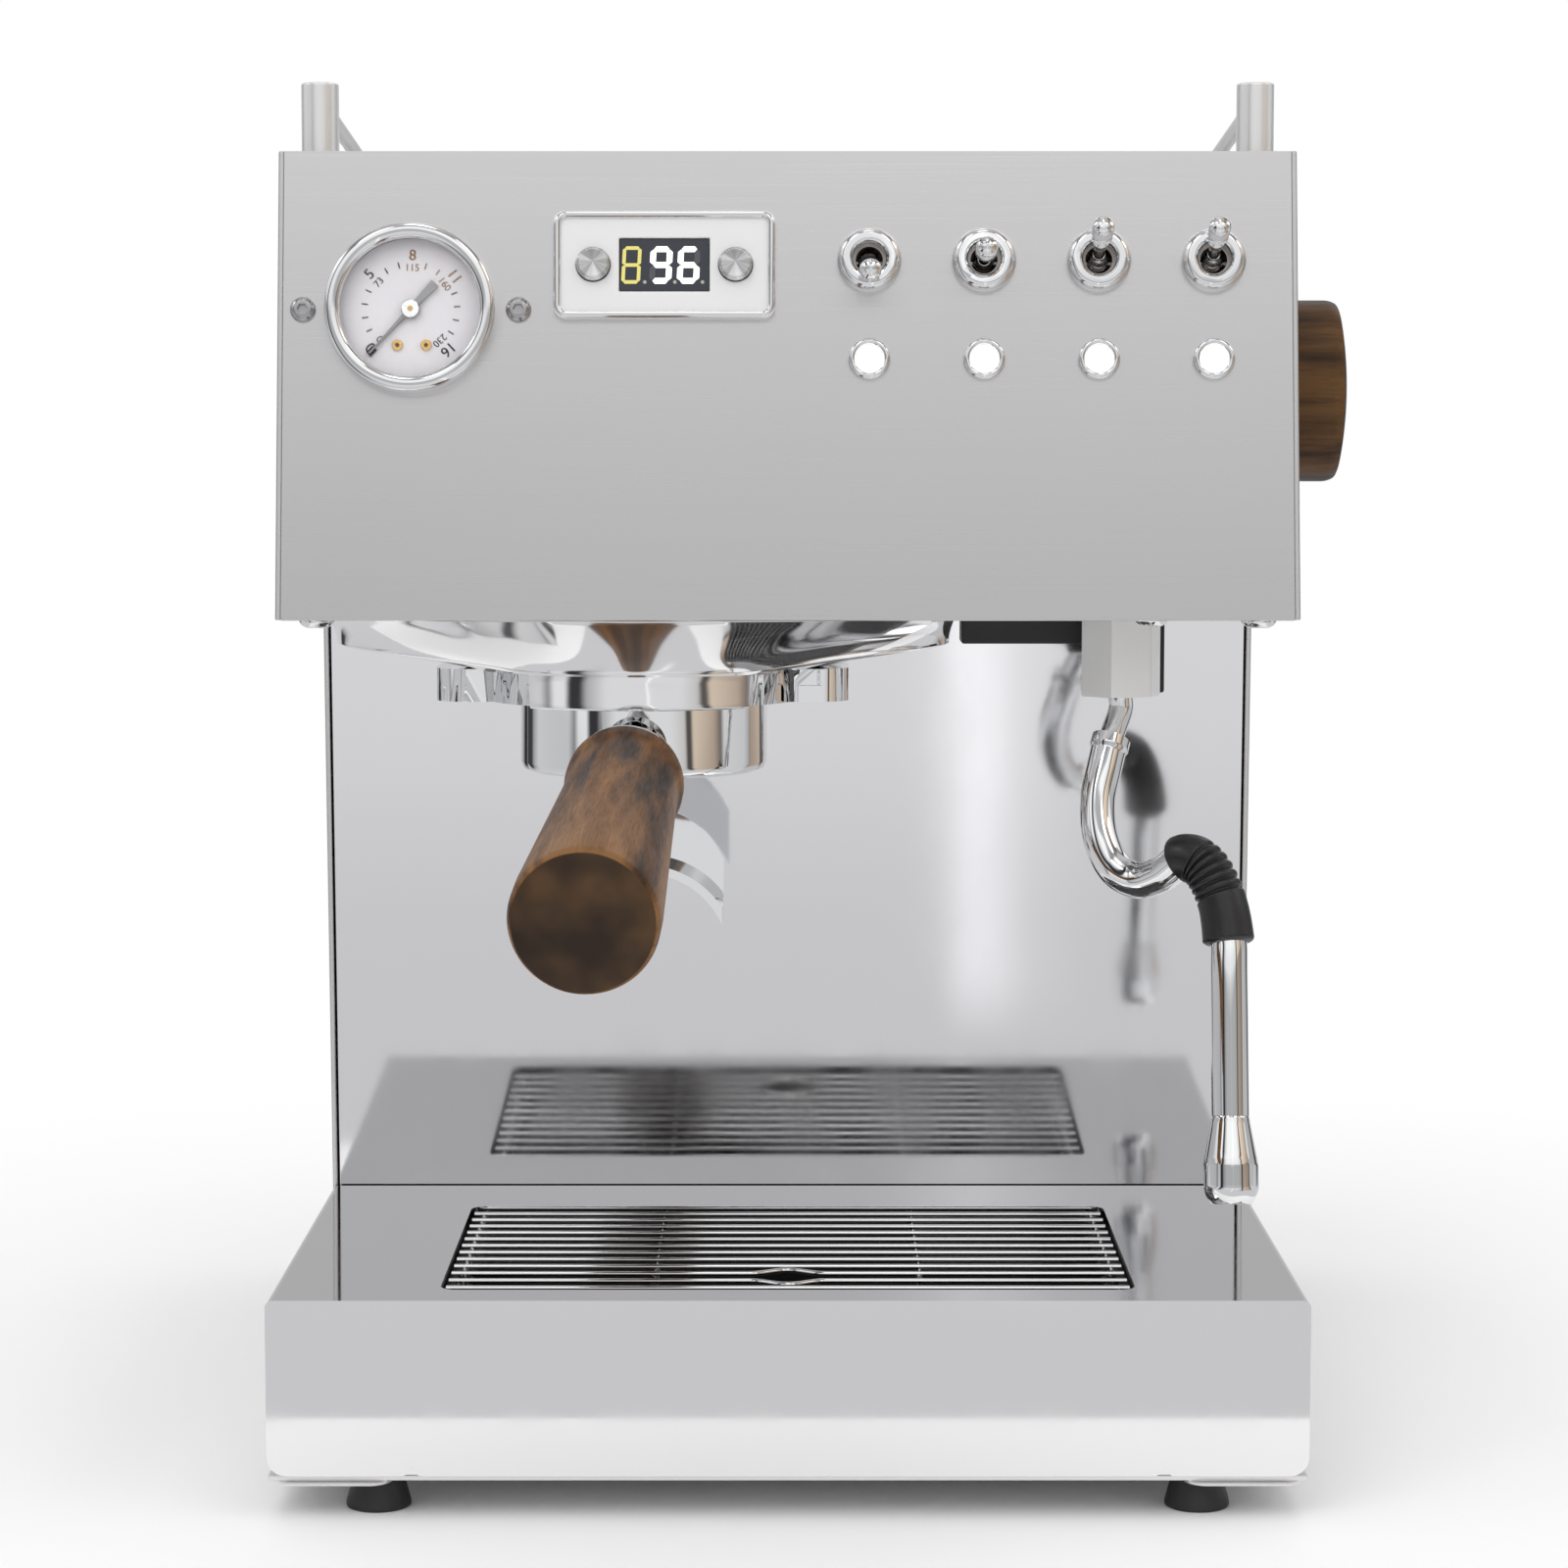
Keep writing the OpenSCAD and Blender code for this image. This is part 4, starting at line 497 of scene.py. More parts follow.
def softenedCopy(node, width, smoothTo):
    source = frame["nodes"][node]
    piece = bpy.data.objects.new(node + "_finished", source.data.copy())
    bpy.context.scene.collection.objects.link(piece)
    pick(piece)
    bpy.ops.object.mode_set(mode="EDIT")
    bpy.ops.mesh.select_all(action="SELECT")
    bpy.ops.mesh.remove_doubles(threshold=softening["weld"])
    bpy.ops.mesh.dissolve_limited(angle_limit=math.radians(softening["flatWithin"]))
    bpy.ops.object.mode_set(mode="OBJECT")
    if width:
        bevel = piece.modifiers.new("bevel", "BEVEL")
        bevel.width = width * mm
        bevel.segments = softening["segments"]
        bevel.limit_method = "ANGLE"
        bevel.angle_limit = math.radians(softening["bevelFrom"])
        bevel.use_clamp_overlap = True
        applyModifiers(piece)
    pick(piece)
    bpy.ops.object.shade_smooth_by_angle(angle=math.radians(smoothTo))
    piece.modifiers.new("weighted", "WEIGHTED_NORMAL").keep_sharp = True
    applyModifiers(piece)
    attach(piece, body_of(source)[0])
    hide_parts(node)
    return piece


for node, (width, smoothTo) in edges.items():
    softenedCopy(node, width, smoothTo)
print("edges broken")

# a wide flange whose face runs down into an apron in front, and stands as a lip at the sides
bell = {"reachSide": 87, "reachFront": 50.5, "reachRear": 48, "power": 2.6, "barrel": 46.6, "lip": 9.2,
        "topRound": 1.0, "coneFoot": 15.9, "coneBend": 1.15, "faceBend": 1.4, "sideBend": 1.7, "lipLean": 2.2,
        "lipRound": 1.6, "footRound": 0.7, "apronHalf": 29.5, "inner": 44.1, "columns": 180,
        "foldFrom": 37, "foldTo": 88}


def bellReach(angle):
    reach = bell["reachRear"] if math.sin(angle) > 0 else bell["reachFront"]
    across = abs(math.cos(angle)) / bell["reachSide"]
    along = abs(math.sin(angle)) / reach
    return (across ** bell["power"] + along ** bell["power"]) ** (-1 / bell["power"])


def roundedCorner(before, corner, after, radius, steps=5):
    # points on a soft turn from one leg to the next, both legs being straight near the corner
    before, corner, after = Vector(before), Vector(corner), Vector(after)
    start = corner + (before - corner).normalized() * min(radius, (before - corner).length * 0.45)
    end = corner + (after - corner).normalized() * min(radius, (after - corner).length * 0.45)
    turn = []
    for i in range(steps + 1):
        t = i / steps
        turn.append(tuple(start * (1 - t) ** 2 + corner * 2 * t * (1 - t) + end * t ** 2))
    return turn


def bellSection(angle, high, gasketTop, gasketFoot, gasketR, crownTop):
    # radius and height, from the middle of the top over the outside and back up the inside
    reach = bellReach(angle)
    barrel = bell["barrel"]
    offFront = abs(90 - math.degrees(angle) % 180)
    share = min(max((offFront - bell["foldFrom"]) / (bell["foldTo"] - bell["foldFrom"]), 0), 1)
    share = share * share * (3 - 2 * share)
    edgeR = barrel + (reach - bell["lipLean"] - barrel) * share
    edgeZ = -bell["coneFoot"] + (bell["coneFoot"] - bell["lip"]) * share
    bend = bell["faceBend"] + (bell["sideBend"] - bell["faceBend"]) * share
    top = [(reach - bell["topRound"] * (1 - math.sin(turn)), -bell["topRound"] * (1 - math.cos(turn)))
           for turn in (math.pi / 2 * i / 4 for i in range(5))]
    face = []
    for i in range(1, 17):
        t = i / 16
        face.append((edgeR + (reach - edgeR) * (1 - t) ** bend,
                     -bell["topRound"] + (edgeZ + bell["topRound"]) * t))
    cone = []
    for i in range(1, 11):
        t = i / 10
        cone.append((barrel + (edgeR - barrel) * (1 - t) ** bell["coneBend"],
                     edgeZ + (-bell["coneFoot"] - edgeZ) * t))
    edge = roundedCorner(face[-3], face[-1], cone[1], bell["lipRound"])
    inApron = abs(math.cos(angle)) * barrel <= bell["apronHalf"] + 0.01
    foot = -high if inApron else crownTop
    skirt = [(barrel, -bell["coneFoot"] + (foot + bell["coneFoot"]) * i / 5) for i in range(1, 5)]
    outer = roundedCorner(skirt[-1], (barrel, foot), (bell["inner"], foot), bell["footRound"], 4)
    inside = [(bell["inner"], foot), (bell["inner"], crownTop), (gasketR, crownTop), (gasketR, gasketTop),
              (gasketR - 7.5, gasketTop), (gasketR - 7.5, gasketFoot), (0, gasketFoot)]
    return [(0, 0)] + top + face[:-1] + edge + cone[1:] + skirt + outer + inside


def makeBell():
    gasketLow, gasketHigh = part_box("group_gasket")
    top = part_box("head_underside")[0].z
    centre = Vector((groupMiddle.x, groupMiddle.y, top))
    high = (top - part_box("group_bell")[0].z) / mm
    crownTop = (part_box("group_crown")[1].z - top) / mm
    gasketR = (gasketHigh.x - gasketLow.x) / 2 / mm
    limit = math.acos(bell["apronHalf"] / bell["barrel"])
    # the columns stand closer together at the four ends of the aprons
    angles = [2 * math.pi * i / bell["columns"] for i in range(bell["columns"])]
    for end in (limit, math.pi - limit, math.pi + limit, 2 * math.pi - limit):
        angles += [end, end - 0.012 if math.sin(end + 0.01) ** 2 > math.sin(end) ** 2 else end + 0.012]
    angles = sorted(angles)
    angles.append(angles[0] + 2 * math.pi)
    sections = [bellSection(a, high, (gasketHigh.z - top) / mm, (gasketLow.z - top) / mm, gasketR, crownTop)
                for a in angles]
    rows = len(sections[0]) - 1
    columns = len(angles) - 1
    bpy.ops.mesh.primitive_grid_add(x_subdivisions=columns, y_subdivisions=rows, size=1)
    piece = nameNew("group_bell_cast")
    for vertex in piece.data.vertices:
        column = round((vertex.co.x + 0.5) * columns)
        radius, depth = sections[column][round((vertex.co.y + 0.5) * rows)]
        angle = angles[column]
        vertex.co = centre + Vector((radius * math.cos(angle), radius * math.sin(angle), depth)) * mm
    bpy.ops.object.mode_set(mode="EDIT")
    bpy.ops.mesh.select_all(action="SELECT")
    bpy.ops.mesh.remove_doubles(threshold=0.00001)
    bpy.ops.mesh.normals_make_consistent(inside=False)
    bpy.ops.object.mode_set(mode="OBJECT")
    bpy.ops.object.shade_smooth_by_angle(angle=math.radians(46))
    paint(piece, bellChrome)
    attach(piece, "machine")
    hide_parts("group_bell")


makeBell()
print("bell cast")

# centreline below the holder, in millimetres from its axis and foot
wand = {"points": [
            (0, 0, 6), (0, 0, 0), (0, 0, -4), (-2.6, -4, -10.6), (-5, -8, -19), (-7, -11.6, -27.5), (-6.6, -16, -37),
            (-3, -20, -45), (3, -24, -48), (9, -29, -45.6), (14.5, -34, -41), (19.5, -38, -43),
            (23.4, -42, -51), (25, -45, -61), (25, -48, -71), (24.8, -56, -106.4)],
        "steps": 16, "tube": 4.9, "neck": 3.4, "collar": 5.4, "collarFrom": 3.1, "collarTo": 3.45,
        "gripFrom": 9.75, "gripTo": 13.1, "grip": 6.55, "groove": 0.85, "grooves": 6,
        "groovesFrom": 0.26, "groovesTo": 0.66, "flareFrom": 0.72, "flare": 0.35, "endRun": 0.035, "endDrop": 0.9}


def smoothPath(points, steps):
    # passes through every point, with an even turn at each
    points = [Vector(p) for p in points]
    ends = [points[0] * 2 - points[1]] + points + [points[-1] * 2 - points[-2]]
    path = []
    for i in range(len(points) - 1):
        before, start, end, after = ends[i:i + 4]
        for k in range(steps):
            t = k / steps
            path.append(0.5 * (2 * start + (end - before) * t + (2 * before - 5 * start + 4 * end - after) * t ** 2
                               + (3 * start - before - 3 * end + after) * t ** 3))
    return path + [points[-1]]


def sweepTube(name, path, radii, foot, closed=False):
    bpy.ops.curve.primitive_bezier_curve_add(enter_editmode=False)
    curve = bpy.context.object
    curve.data.splines.clear()
    spline = curve.data.splines.new("POLY")
    spline.points.add(len(path) - 1)
    spline.use_cyclic_u = closed
    for point, place, radius in zip(spline.points, path, radii):
        point.co = (*(foot + place * mm), 1)
        point.radius = radius
    curve.location = (0, 0, 0)
    curve.data.dimensions = "3D"
    curve.data.bevel_depth = mm
    curve.data.bevel_resolution = 10
    curve.data.use_fill_caps = not closed
    pick(curve)
    bpy.ops.object.convert(target="MESH")
    piece = nameNew(name)
    bpy.ops.object.mode_set(mode="EDIT")
    bpy.ops.mesh.select_all(action="SELECT")
    bpy.ops.mesh.remove_doubles(threshold=0.000001)
    bpy.ops.mesh.normals_make_consistent(inside=False)
    bpy.ops.object.mode_set(mode="OBJECT")
    bpy.ops.object.shade_smooth_by_angle(angle=math.radians(50))
    return piece


def gripRadius(share):
    radius = wand["grip"]
    if wand["groovesFrom"] < share < wand["groovesTo"]:
        turn = (share - wand["groovesFrom"]) / (wand["groovesTo"] - wand["groovesFrom"]) * wand["grooves"]
        radius -= wand["groove"] * (0.5 - 0.5 * math.cos(2 * math.pi * turn)) ** 2
    if share > wand["flareFrom"]:
        radius += wand["flare"] * (share - wand["flareFrom"]) / (1 - wand["flareFrom"])
    toEnd = min(share, 1 - share)
    if toEnd < wand["endRun"]:
        radius -= wand["endDrop"] * (1 - toEnd / wand["endRun"]) ** 2
    return radius


def makeWand():
    holderLow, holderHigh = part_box("wand_holder")
    foot = Vector(((holderLow.x + holderHigh.x) / 2, (holderLow.y + holderHigh.y) / 2, holderLow.z))
    path = smoothPath(wand["points"], wand["steps"])
    radii = []
    for i in range(len(path)):
        at = i / wand["steps"]
        inCollar = wand["collarFrom"] <= at <= wand["collarTo"]
        radii.append(wand["neck"] if at < wand["collarFrom"] else wand["collar"] if inCollar else wand["tube"])
    tube = sweepTube("wand_tube_bent", path, radii, foot)
    paint(tube, wandChrome)
    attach(tube, "steam_wand")
    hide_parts("wand_tube")
    first = round(wand["gripFrom"] * wand["steps"])
    last = round(wand["gripTo"] * wand["steps"])
    fine = smoothPath(path[first:last + 1], 3)
    count = len(fine) - 1
    grip = sweepTube("wand_grip_ribbed", fine, [gripRadius(i / count) for i in range(count + 1)], foot)
    paint(grip, gripRubber)
    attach(grip, "steam_wand")
    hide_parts("wand_grip")


makeWand()
print("wand bent")

view = {"right": -1, "back": -1000, "height": 283.7, "down": 5.26, "lens": 90.5}
cameraData = bpy.data.cameras.new("camera")
cameraData.lens = view["lens"]
cameraData.sensor_width = 36
cameraData.clip_end = 50
camera = bpy.data.objects.new("camera", cameraData)
camera.location = fromFront(view["right"], view["back"], view["height"])
camera.rotation_euler = (math.radians(90 - view["down"]), 0, 0)
bpy.context.scene.collection.objects.link(camera)
bpy.context.scene.camera = camera

# distances in metres, but for the white sheet's reach, which is in millimetres
studio = {"floorHalf": 6, "whiteReach": 105, "worldLight": 0.74, "shadowReach": (0.06, 0.33),
          "flagsFrom": (0.25, 0.5), "toneReach": (0.1, 1.2)}
# a pale strip of window light that bright metal sees on the floor in front
strip = {"apex": 1.2, "from": 0.012, "to": 0.09, "startsAt": (0.25, 0.36),
         "tones": [(0.0, 1.0), (0.28, 1.0), (0.35, 1.45), (0.45, 1.45), (0.57, 1.1), (0.77, 1.0), (1.0, 1.0)]}
# turn to the right of the front and rise over the horizon, in degrees
softboxes = {"places": [(-30, 50), (34, 47), (0, 66), (-82, 40), (80, 38)], "half": 7, "softEdge": 1.5,
             "light": 1.8}
# what bright metal sees of the floor in front, from the sheet's edge out to the room
floorFar = [(0.0, (0.64, 0.64, 0.65)), (0.35, (0.66, 0.66, 0.67)), (0.7, (0.74, 0.74, 0.75)),
            (1.0, (0.76, 0.76, 0.77))]
# dark flags, a pale room and a warm corner, by the turn from the back over the left to the front and on
flags = [(0.0, 0.95), (0.12, 1.0), (0.13, (0.08, 0.08, 0.085)), (0.155, (0.08, 0.08, 0.085)),
         (0.165, (0.55, 0.55, 0.56)), (0.19, 1.0), (0.30, (0.9, 0.9, 0.91)), (0.318, (0.35, 0.35, 0.36)),
         (0.33, 1.1), (0.352, 1.1), (0.362, (0.05, 0.05, 0.055)), (0.382, (0.05, 0.05, 0.055)), (0.395, 0.6),
         (0.43, 1.0), (0.57, 1.0), (0.605, (0.8, 0.78, 0.75)), (0.613, (0.12, 0.11, 0.1)),
         (0.622, (0.12, 0.11, 0.1)), (0.63, (0.92, 0.76, 0.6)), (0.69, (0.66, 0.53, 0.42)),
         (0.712, (0.26, 0.22, 0.19)), (0.724, 1.05), (0.80, 0.95), (0.83, 0.5), (0.84, 0.07), (0.865, 0.07),
         (0.875, 1.0), (1.0, 0.95)]
# a narrow window a little right of the front
windowLine = [(0.5068, 1.0), (0.5078, 1.35), (0.5088, 1.35), (0.511, 1.0)]
# the room by height, dark low down and again overhead
roomByHeight = [(0.0, 0.5), (0.3, (0.52, 0.52, 0.525)), (0.36, (0.46, 0.46, 0.465)), (0.43, (0.45, 0.45, 0.455)),
                (0.47, (0.86, 0.86, 0.87)), (0.6, 1.0), (0.71, 1.12), (0.745, (0.5, 0.5, 0.51)),
                (0.8, (0.3, 0.3, 0.31)), (0.86, (0.36, 0.36, 0.37)), (0.93, 0.7), (1.0, 0.8)]


def distanceFromBase(tree, coords):
    low, high = trayLow, Vector(cadBounds[1])
    middle = ((low[0] + high[0]) / 2, (low[1] + high[1]) / 2, 0)
    half = ((high[0] - low[0]) / 2, (high[1] - low[1]) / 2, 0)
    reach = vectorOf(tree, "ABSOLUTE", vectorOf(tree, "SUBTRACT", coords.outputs["Object"], middle))
    outside = vectorOf(tree, "MAXIMUM", vectorOf(tree, "SUBTRACT", reach, half), (0, 0, 0))
    return vectorOf(tree, "LENGTH", outside)


def flagsAround(tree, split, stops):
    forward = mathOf(tree, "MULTIPLY", split.outputs["Y"], -1)
    angle = mathOf(tree, "ARCTAN2", split.outputs["X"], forward)
    return blendColours(tree, spread(tree, angle, 0, 1, -math.pi, math.pi), stops)


def makeFloor():
    bpy.ops.mesh.primitive_plane_add(size=2 * studio["floorHalf"], location=(0, 0, 0))
    floor = nameNew("floor")
    material, tree, shader = newMaterial("floor_paper")
    shader.inputs["Base Color"].default_value = (0.93, 0.93, 0.93, 1)
    shader.inputs["Roughness"].default_value = 0.9
    shader.inputs["Specular IOR Level"].default_value = 0.1
    # the metal sees a white sheet close by and a grey room past it, with a pale strip of window light
    path = addNode(tree, "ShaderNodeLightPath")
    coords = addNode(tree, "ShaderNodeTexCoord")
    split = addNode(tree, "ShaderNodeSeparateXYZ")
    tree.links.new(coords.outputs["Object"], split.inputs[0])
    distance = distanceFromBase(tree, coords)
    far = mathOf(tree, "GREATER_THAN", distance, studio["whiteReach"] * mm)
    mirrored = mathOf(tree, "MULTIPLY", path.outputs["Is Glossy Ray"], far)
    toneFrom, toneTo = [frontY - reach for reach in studio["toneReach"]]
    tone = blendColours(tree, spread(tree, split.outputs["Y"], 0, 1, toneFrom, toneTo), floorFar)
    # the strip widens evenly with distance, so it stands upright in the leaning panel
    depth = mathOf(tree, "SUBTRACT", strip["apex"], split.outputs["Y"])
    slope = mathOf(tree, "DIVIDE", split.outputs["X"], depth)
    inStrip = blendColours(tree, spread(tree, slope, 0, 1, strip["from"], strip["to"]), strip["tones"])
    starts = [frontY - reach for reach in strip["startsAt"]]
    toned = mixOf(tree, spread(tree, split.outputs["Y"], 0, 1, *starts), tone, inStrip, "MULTIPLY")
    flagged = mixOf(tree, spread(tree, distance, 0, 1, *studio["flagsFrom"]), toned,
                    flagsAround(tree, split, flags), "MULTIPLY")
    grey = addNode(tree, "ShaderNodeEmission")
    tree.links.new(flagged, grey.inputs["Color"])
    sheet = mixShaders(tree, mirrored, shader.outputs[0], grey.outputs[0])
    # away from the base the paper is plain white to the eye, and its shadow shows close by
    white = spread(tree, distance, 0, 1, *studio["shadowReach"])
    seen = mathOf(tree, "MULTIPLY", white, path.outputs["Is Camera Ray"])
    paper = addNode(tree, "ShaderNodeEmission")
    paper.inputs["Color"].default_value = (1, 1, 1, 1)
    finish = mixShaders(tree, seen, sheet, paper.outputs[0])
    tree.links.new(finish, tree.nodes["Material Output"].inputs["Surface"])
    paint(floor, material)


def makeWorld():
    world = bpy.data.worlds.new("studio")
    bpy.context.scene.world = world
    world.use_nodes = True
    tree = world.node_tree
    background = tree.nodes["Background"]
    path = addNode(tree, "ShaderNodeLightPath")
    coords = addNode(tree, "ShaderNodeTexCoord")
    split = addNode(tree, "ShaderNodeSeparateXYZ")
    tree.links.new(coords.outputs["Generated"], split.inputs[0])
    # what the metal sees: the room by height, with dark flags and a warm corner at its sides
    height = blendColours(tree, spread(tree, split.outputs["Z"], 0, 1, -0.25, 1.0), roomByHeight)
    around = flagsAround(tree, split, sorted(flags + windowLine, key=lambda stop: stop[0]))
    room = mixOf(tree, 1, height, around, "MULTIPLY")
    edgeAt = [math.cos(math.radians(softboxes["half"] + soft)) for soft in (softboxes["softEdge"], 0)]
    for turn, rise in softboxes["places"]:
        # a round softbox, seen only as a spark in curved chrome
        turn, rise = math.radians(turn), math.radians(rise)
        facing = vectorOf(tree, "DOT_PRODUCT", coords.outputs["Generated"], (
            math.sin(turn) * math.cos(rise), -math.cos(turn) * math.cos(rise), math.sin(rise)))
        room = mixOf(tree, 1, room, spread(tree, facing, 0, softboxes["light"], *edgeAt), "ADD")
    metalView = mixOf(tree, path.outputs["Is Glossy Ray"], (*[studio["worldLight"]] * 3, 1), room)
    direct = mathOf(tree, "MAXIMUM", path.outputs["Is Camera Ray"], path.outputs["Is Transmission Ray"])
    tree.links.new(mixOf(tree, direct, metalView, (1, 1, 1, 1)), background.inputs["Color"])


def addLamp(name, place, target, size, power):
    lampData = bpy.data.lights.new(name, "AREA")
    lampData.shape = "SQUARE"
    lampData.size = size
    lampData.energy = power
    lamp = bpy.data.objects.new(name, lampData)
    lamp.location = place
    lamp.rotation_euler = (Vector(target) - Vector(place)).to_track_quat("-Z", "Y").to_euler()
    lamp.visible_glossy = False
    bpy.context.scene.collection.objects.link(lamp)


makeFloor()
makeWorld()
target = fromFront(0, 120, 180)
addLamp("key", fromFront(-700, -1200, 1500), target, 1.2, 9)
addLamp("fill", fromFront(1100, -700, 1100), target, 1.2, 4)
addLamp("top", fromFront(0, 300, 1700), target, 1.6, 8)
bpy.context.scene.view_settings.view_transform = "Standard"
print("studio ready")

# sizes in millimetres, the tips and gaps of the bars as shares of a bar's width
display = {"digitHigh": 10.0, "digitWide": 5.9, "dimNarrower": 0.9, "bar": 1.55, "thinBar": 0.95, "barDeep": 0.12,
           "tip": 0.42, "gap": 0.16, "slant": 0.05, "above": 0.28, "dot": 0.95, "dotRight": 1.5, "dotUp": 0.45,
           "places": (-8.7, -0.9, 6.4)}
segmentNames = {"9": "abcdfg", "6": "acdefg", "8": "abcdefg"}


def addSegment(start, end, bar, material, matrix, name):
    # one bar with pointed ends, between two corners of the digit
    bpy.ops.mesh.primitive_cube_add(size=1)
    piece = nameNew(name)
    run = Vector(end) - Vector(start)
    length = run.length - bar * display["gap"]
    bpy.ops.object.mode_set(mode="EDIT")
    bpy.ops.mesh.subdivide(number_cuts=1)
    bpy.ops.object.mode_set(mode="OBJECT")
    for vertex in piece.data.vertices:
        pull = bar * display["tip"] * abs(vertex.co.y) * 2
        vertex.co.x *= length - 2 * pull
        vertex.co.y *= bar
        vertex.co.z *= display["barDeep"]
    turn = Matrix.Rotation(math.atan2(run.y, run.x), 4, "Z")
    middle = (Vector(start) + Vector(end)) / 2
    lean = Matrix(((1, display["slant"], 0, 0), (0, 1, 0, 0), (0, 0, 1, 0), (0, 0, 0, 1)))
    shrink = Matrix.Scale(mm, 4)
    settle(piece, matrix @ shrink @ lean @ Matrix.Translation((middle.x, middle.y, 0)) @ turn)
    paint(piece, material)
    return piece


def makeDisplay():
    face = onFascia(boxMiddle("display_frame"))
    above = display["above"]
    lit = litMaterial("digit_lit", (1, 1, 1), 1.2)
    amber = litMaterial("digit_dim", (0.62, 0.55, 0.16), 0.85)
    dotShade = mouldedPlastic("digit_dot", (0.4, 0.4, 0.38), 0.4, mottle=0.03)
    unlit = mouldedPlastic("digit_unlit", (0.075, 0.08, 0.09), 0.3, mottle=0.03)
    half = display["digitHigh"] / 2
    for digit, x in zip("896", display["places"]):
        isDim = digit == "8"
        bar = display["thinBar"] if isDim else display["bar"]
        w = (display["digitWide"] - (display["dimNarrower"] if isDim else 0) - bar) / 2
        h = half - bar / 2
        spots = {
            "a": ((-w, h), (w, h)), "b": ((w, h), (w, 0)), "c": ((w, 0), (w, -h)), "d": ((-w, -h), (w, -h)),
            "e": ((-w, 0), (-w, -h)), "f": ((-w, h), (-w, 0)), "g": ((-w, 0), (w, 0))}
        bars = []
        for letter in "abcdefg":
            (x0, y0), (x1, y1) = spots[letter]
            shine = unlit if letter not in segmentNames[digit] else amber if isDim else lit
            bars.append(addSegment((x + x0, y0, 0), (x + x1, y1, 0), bar, shine,
                                   face @ Matrix.Translation((0, 0, above * mm)), "bar"))
        bpy.ops.mesh.primitive_cylinder_add(vertices=16, radius=display["dot"] / 2, depth=display["barDeep"])
        dot = nameNew("dot")
        settle(dot, face @ Matrix.Scale(mm, 4)
               @ Matrix.Translation((x + w + display["dotRight"], -half + display["dotUp"], above)))
        paint(dot, dotShade)
        bars.append(dot)
        piece = joinPieces(bars, "digit_" + digit)
        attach(piece, "machine")


makeDisplay()
print("display made")

gauge = {"degreesPerBar": 16.9, "eightBarAt": 1.6, "tickInner": 11.4, "tickOuter": 13.1, "tickWide": 0.36,
         "barRadius": 14.5, "barHigh": 2.9, "psiRadius": 11.2, "psiHigh": 1.9,
         "screws": [(-3.5, -9.45), (4.1, -9.45)], "screw": 3.0, "stopAt": -137.3, "stopRadius": 15.1,
         "stop": (1.6, 2.4, 0.9), "hub": 4.8, "hubPin": 1.5, "pinHigh": 0.12, "printUp": 0.28,
         "discHigh": 0.5, "inlayUp": 0.49, "socketShare": 0.42, "socketHigh": 0.06}
# shares of a number's height, and how thick its print is
lettering = {"size": 1.38, "bolder": 0.014, "thick": 0.012}
barNumbers = {0: "0", 5: "5", 8: "8", 11: "11", 16: "16"}
psiNumbers = {0: "0", 5: "73", 8: "115", 11: "160", 16: "230"}


def addNumber(text, high, matrix, material):
    bpy.ops.object.text_add(location=(0, 0, 0))
    letters = bpy.context.object
    letters.data.body = text
    letters.data.align_x = "CENTER"
    letters.data.align_y = "CENTER"
    letters.data.size = high * lettering["size"]
    letters.data.extrude = lettering["thick"]
    letters.data.offset = high * lettering["bolder"]
    bpy.ops.object.convert(target="MESH")
    piece = nameNew("number")
    settle(piece, matrix @ Matrix.Scale(mm, 4))
    paint(piece, material)
    return piece


def addTick(matrix, inner, outer, wide, material):
    bpy.ops.mesh.primitive_cube_add(size=1)
    piece = nameNew("tick")
    size = Matrix.Diagonal((wide, outer - inner, 0.03, 1))
    settle(piece, matrix @ Matrix.Scale(mm, 4) @ Matrix.Translation((0, (inner + outer) / 2, 0)) @ size)
    paint(piece, material)
    return piece


def addDisc(across, thick, matrix, material, sides=32):
    bpy.ops.mesh.primitive_cylinder_add(vertices=sides, radius=across / 2, depth=thick)
    piece = nameNew("disc")
    bevel = piece.modifiers.new("bevel", "BEVEL")
    bevel.width = thick * 0.3
    bevel.segments = 2
    bevel.limit_method = "ANGLE"
    applyModifiers(piece)
    settle(piece, matrix @ Matrix.Scale(mm, 4) @ Matrix.Translation((0, 0, thick / 2)))
    paint(piece, material)
    return piece


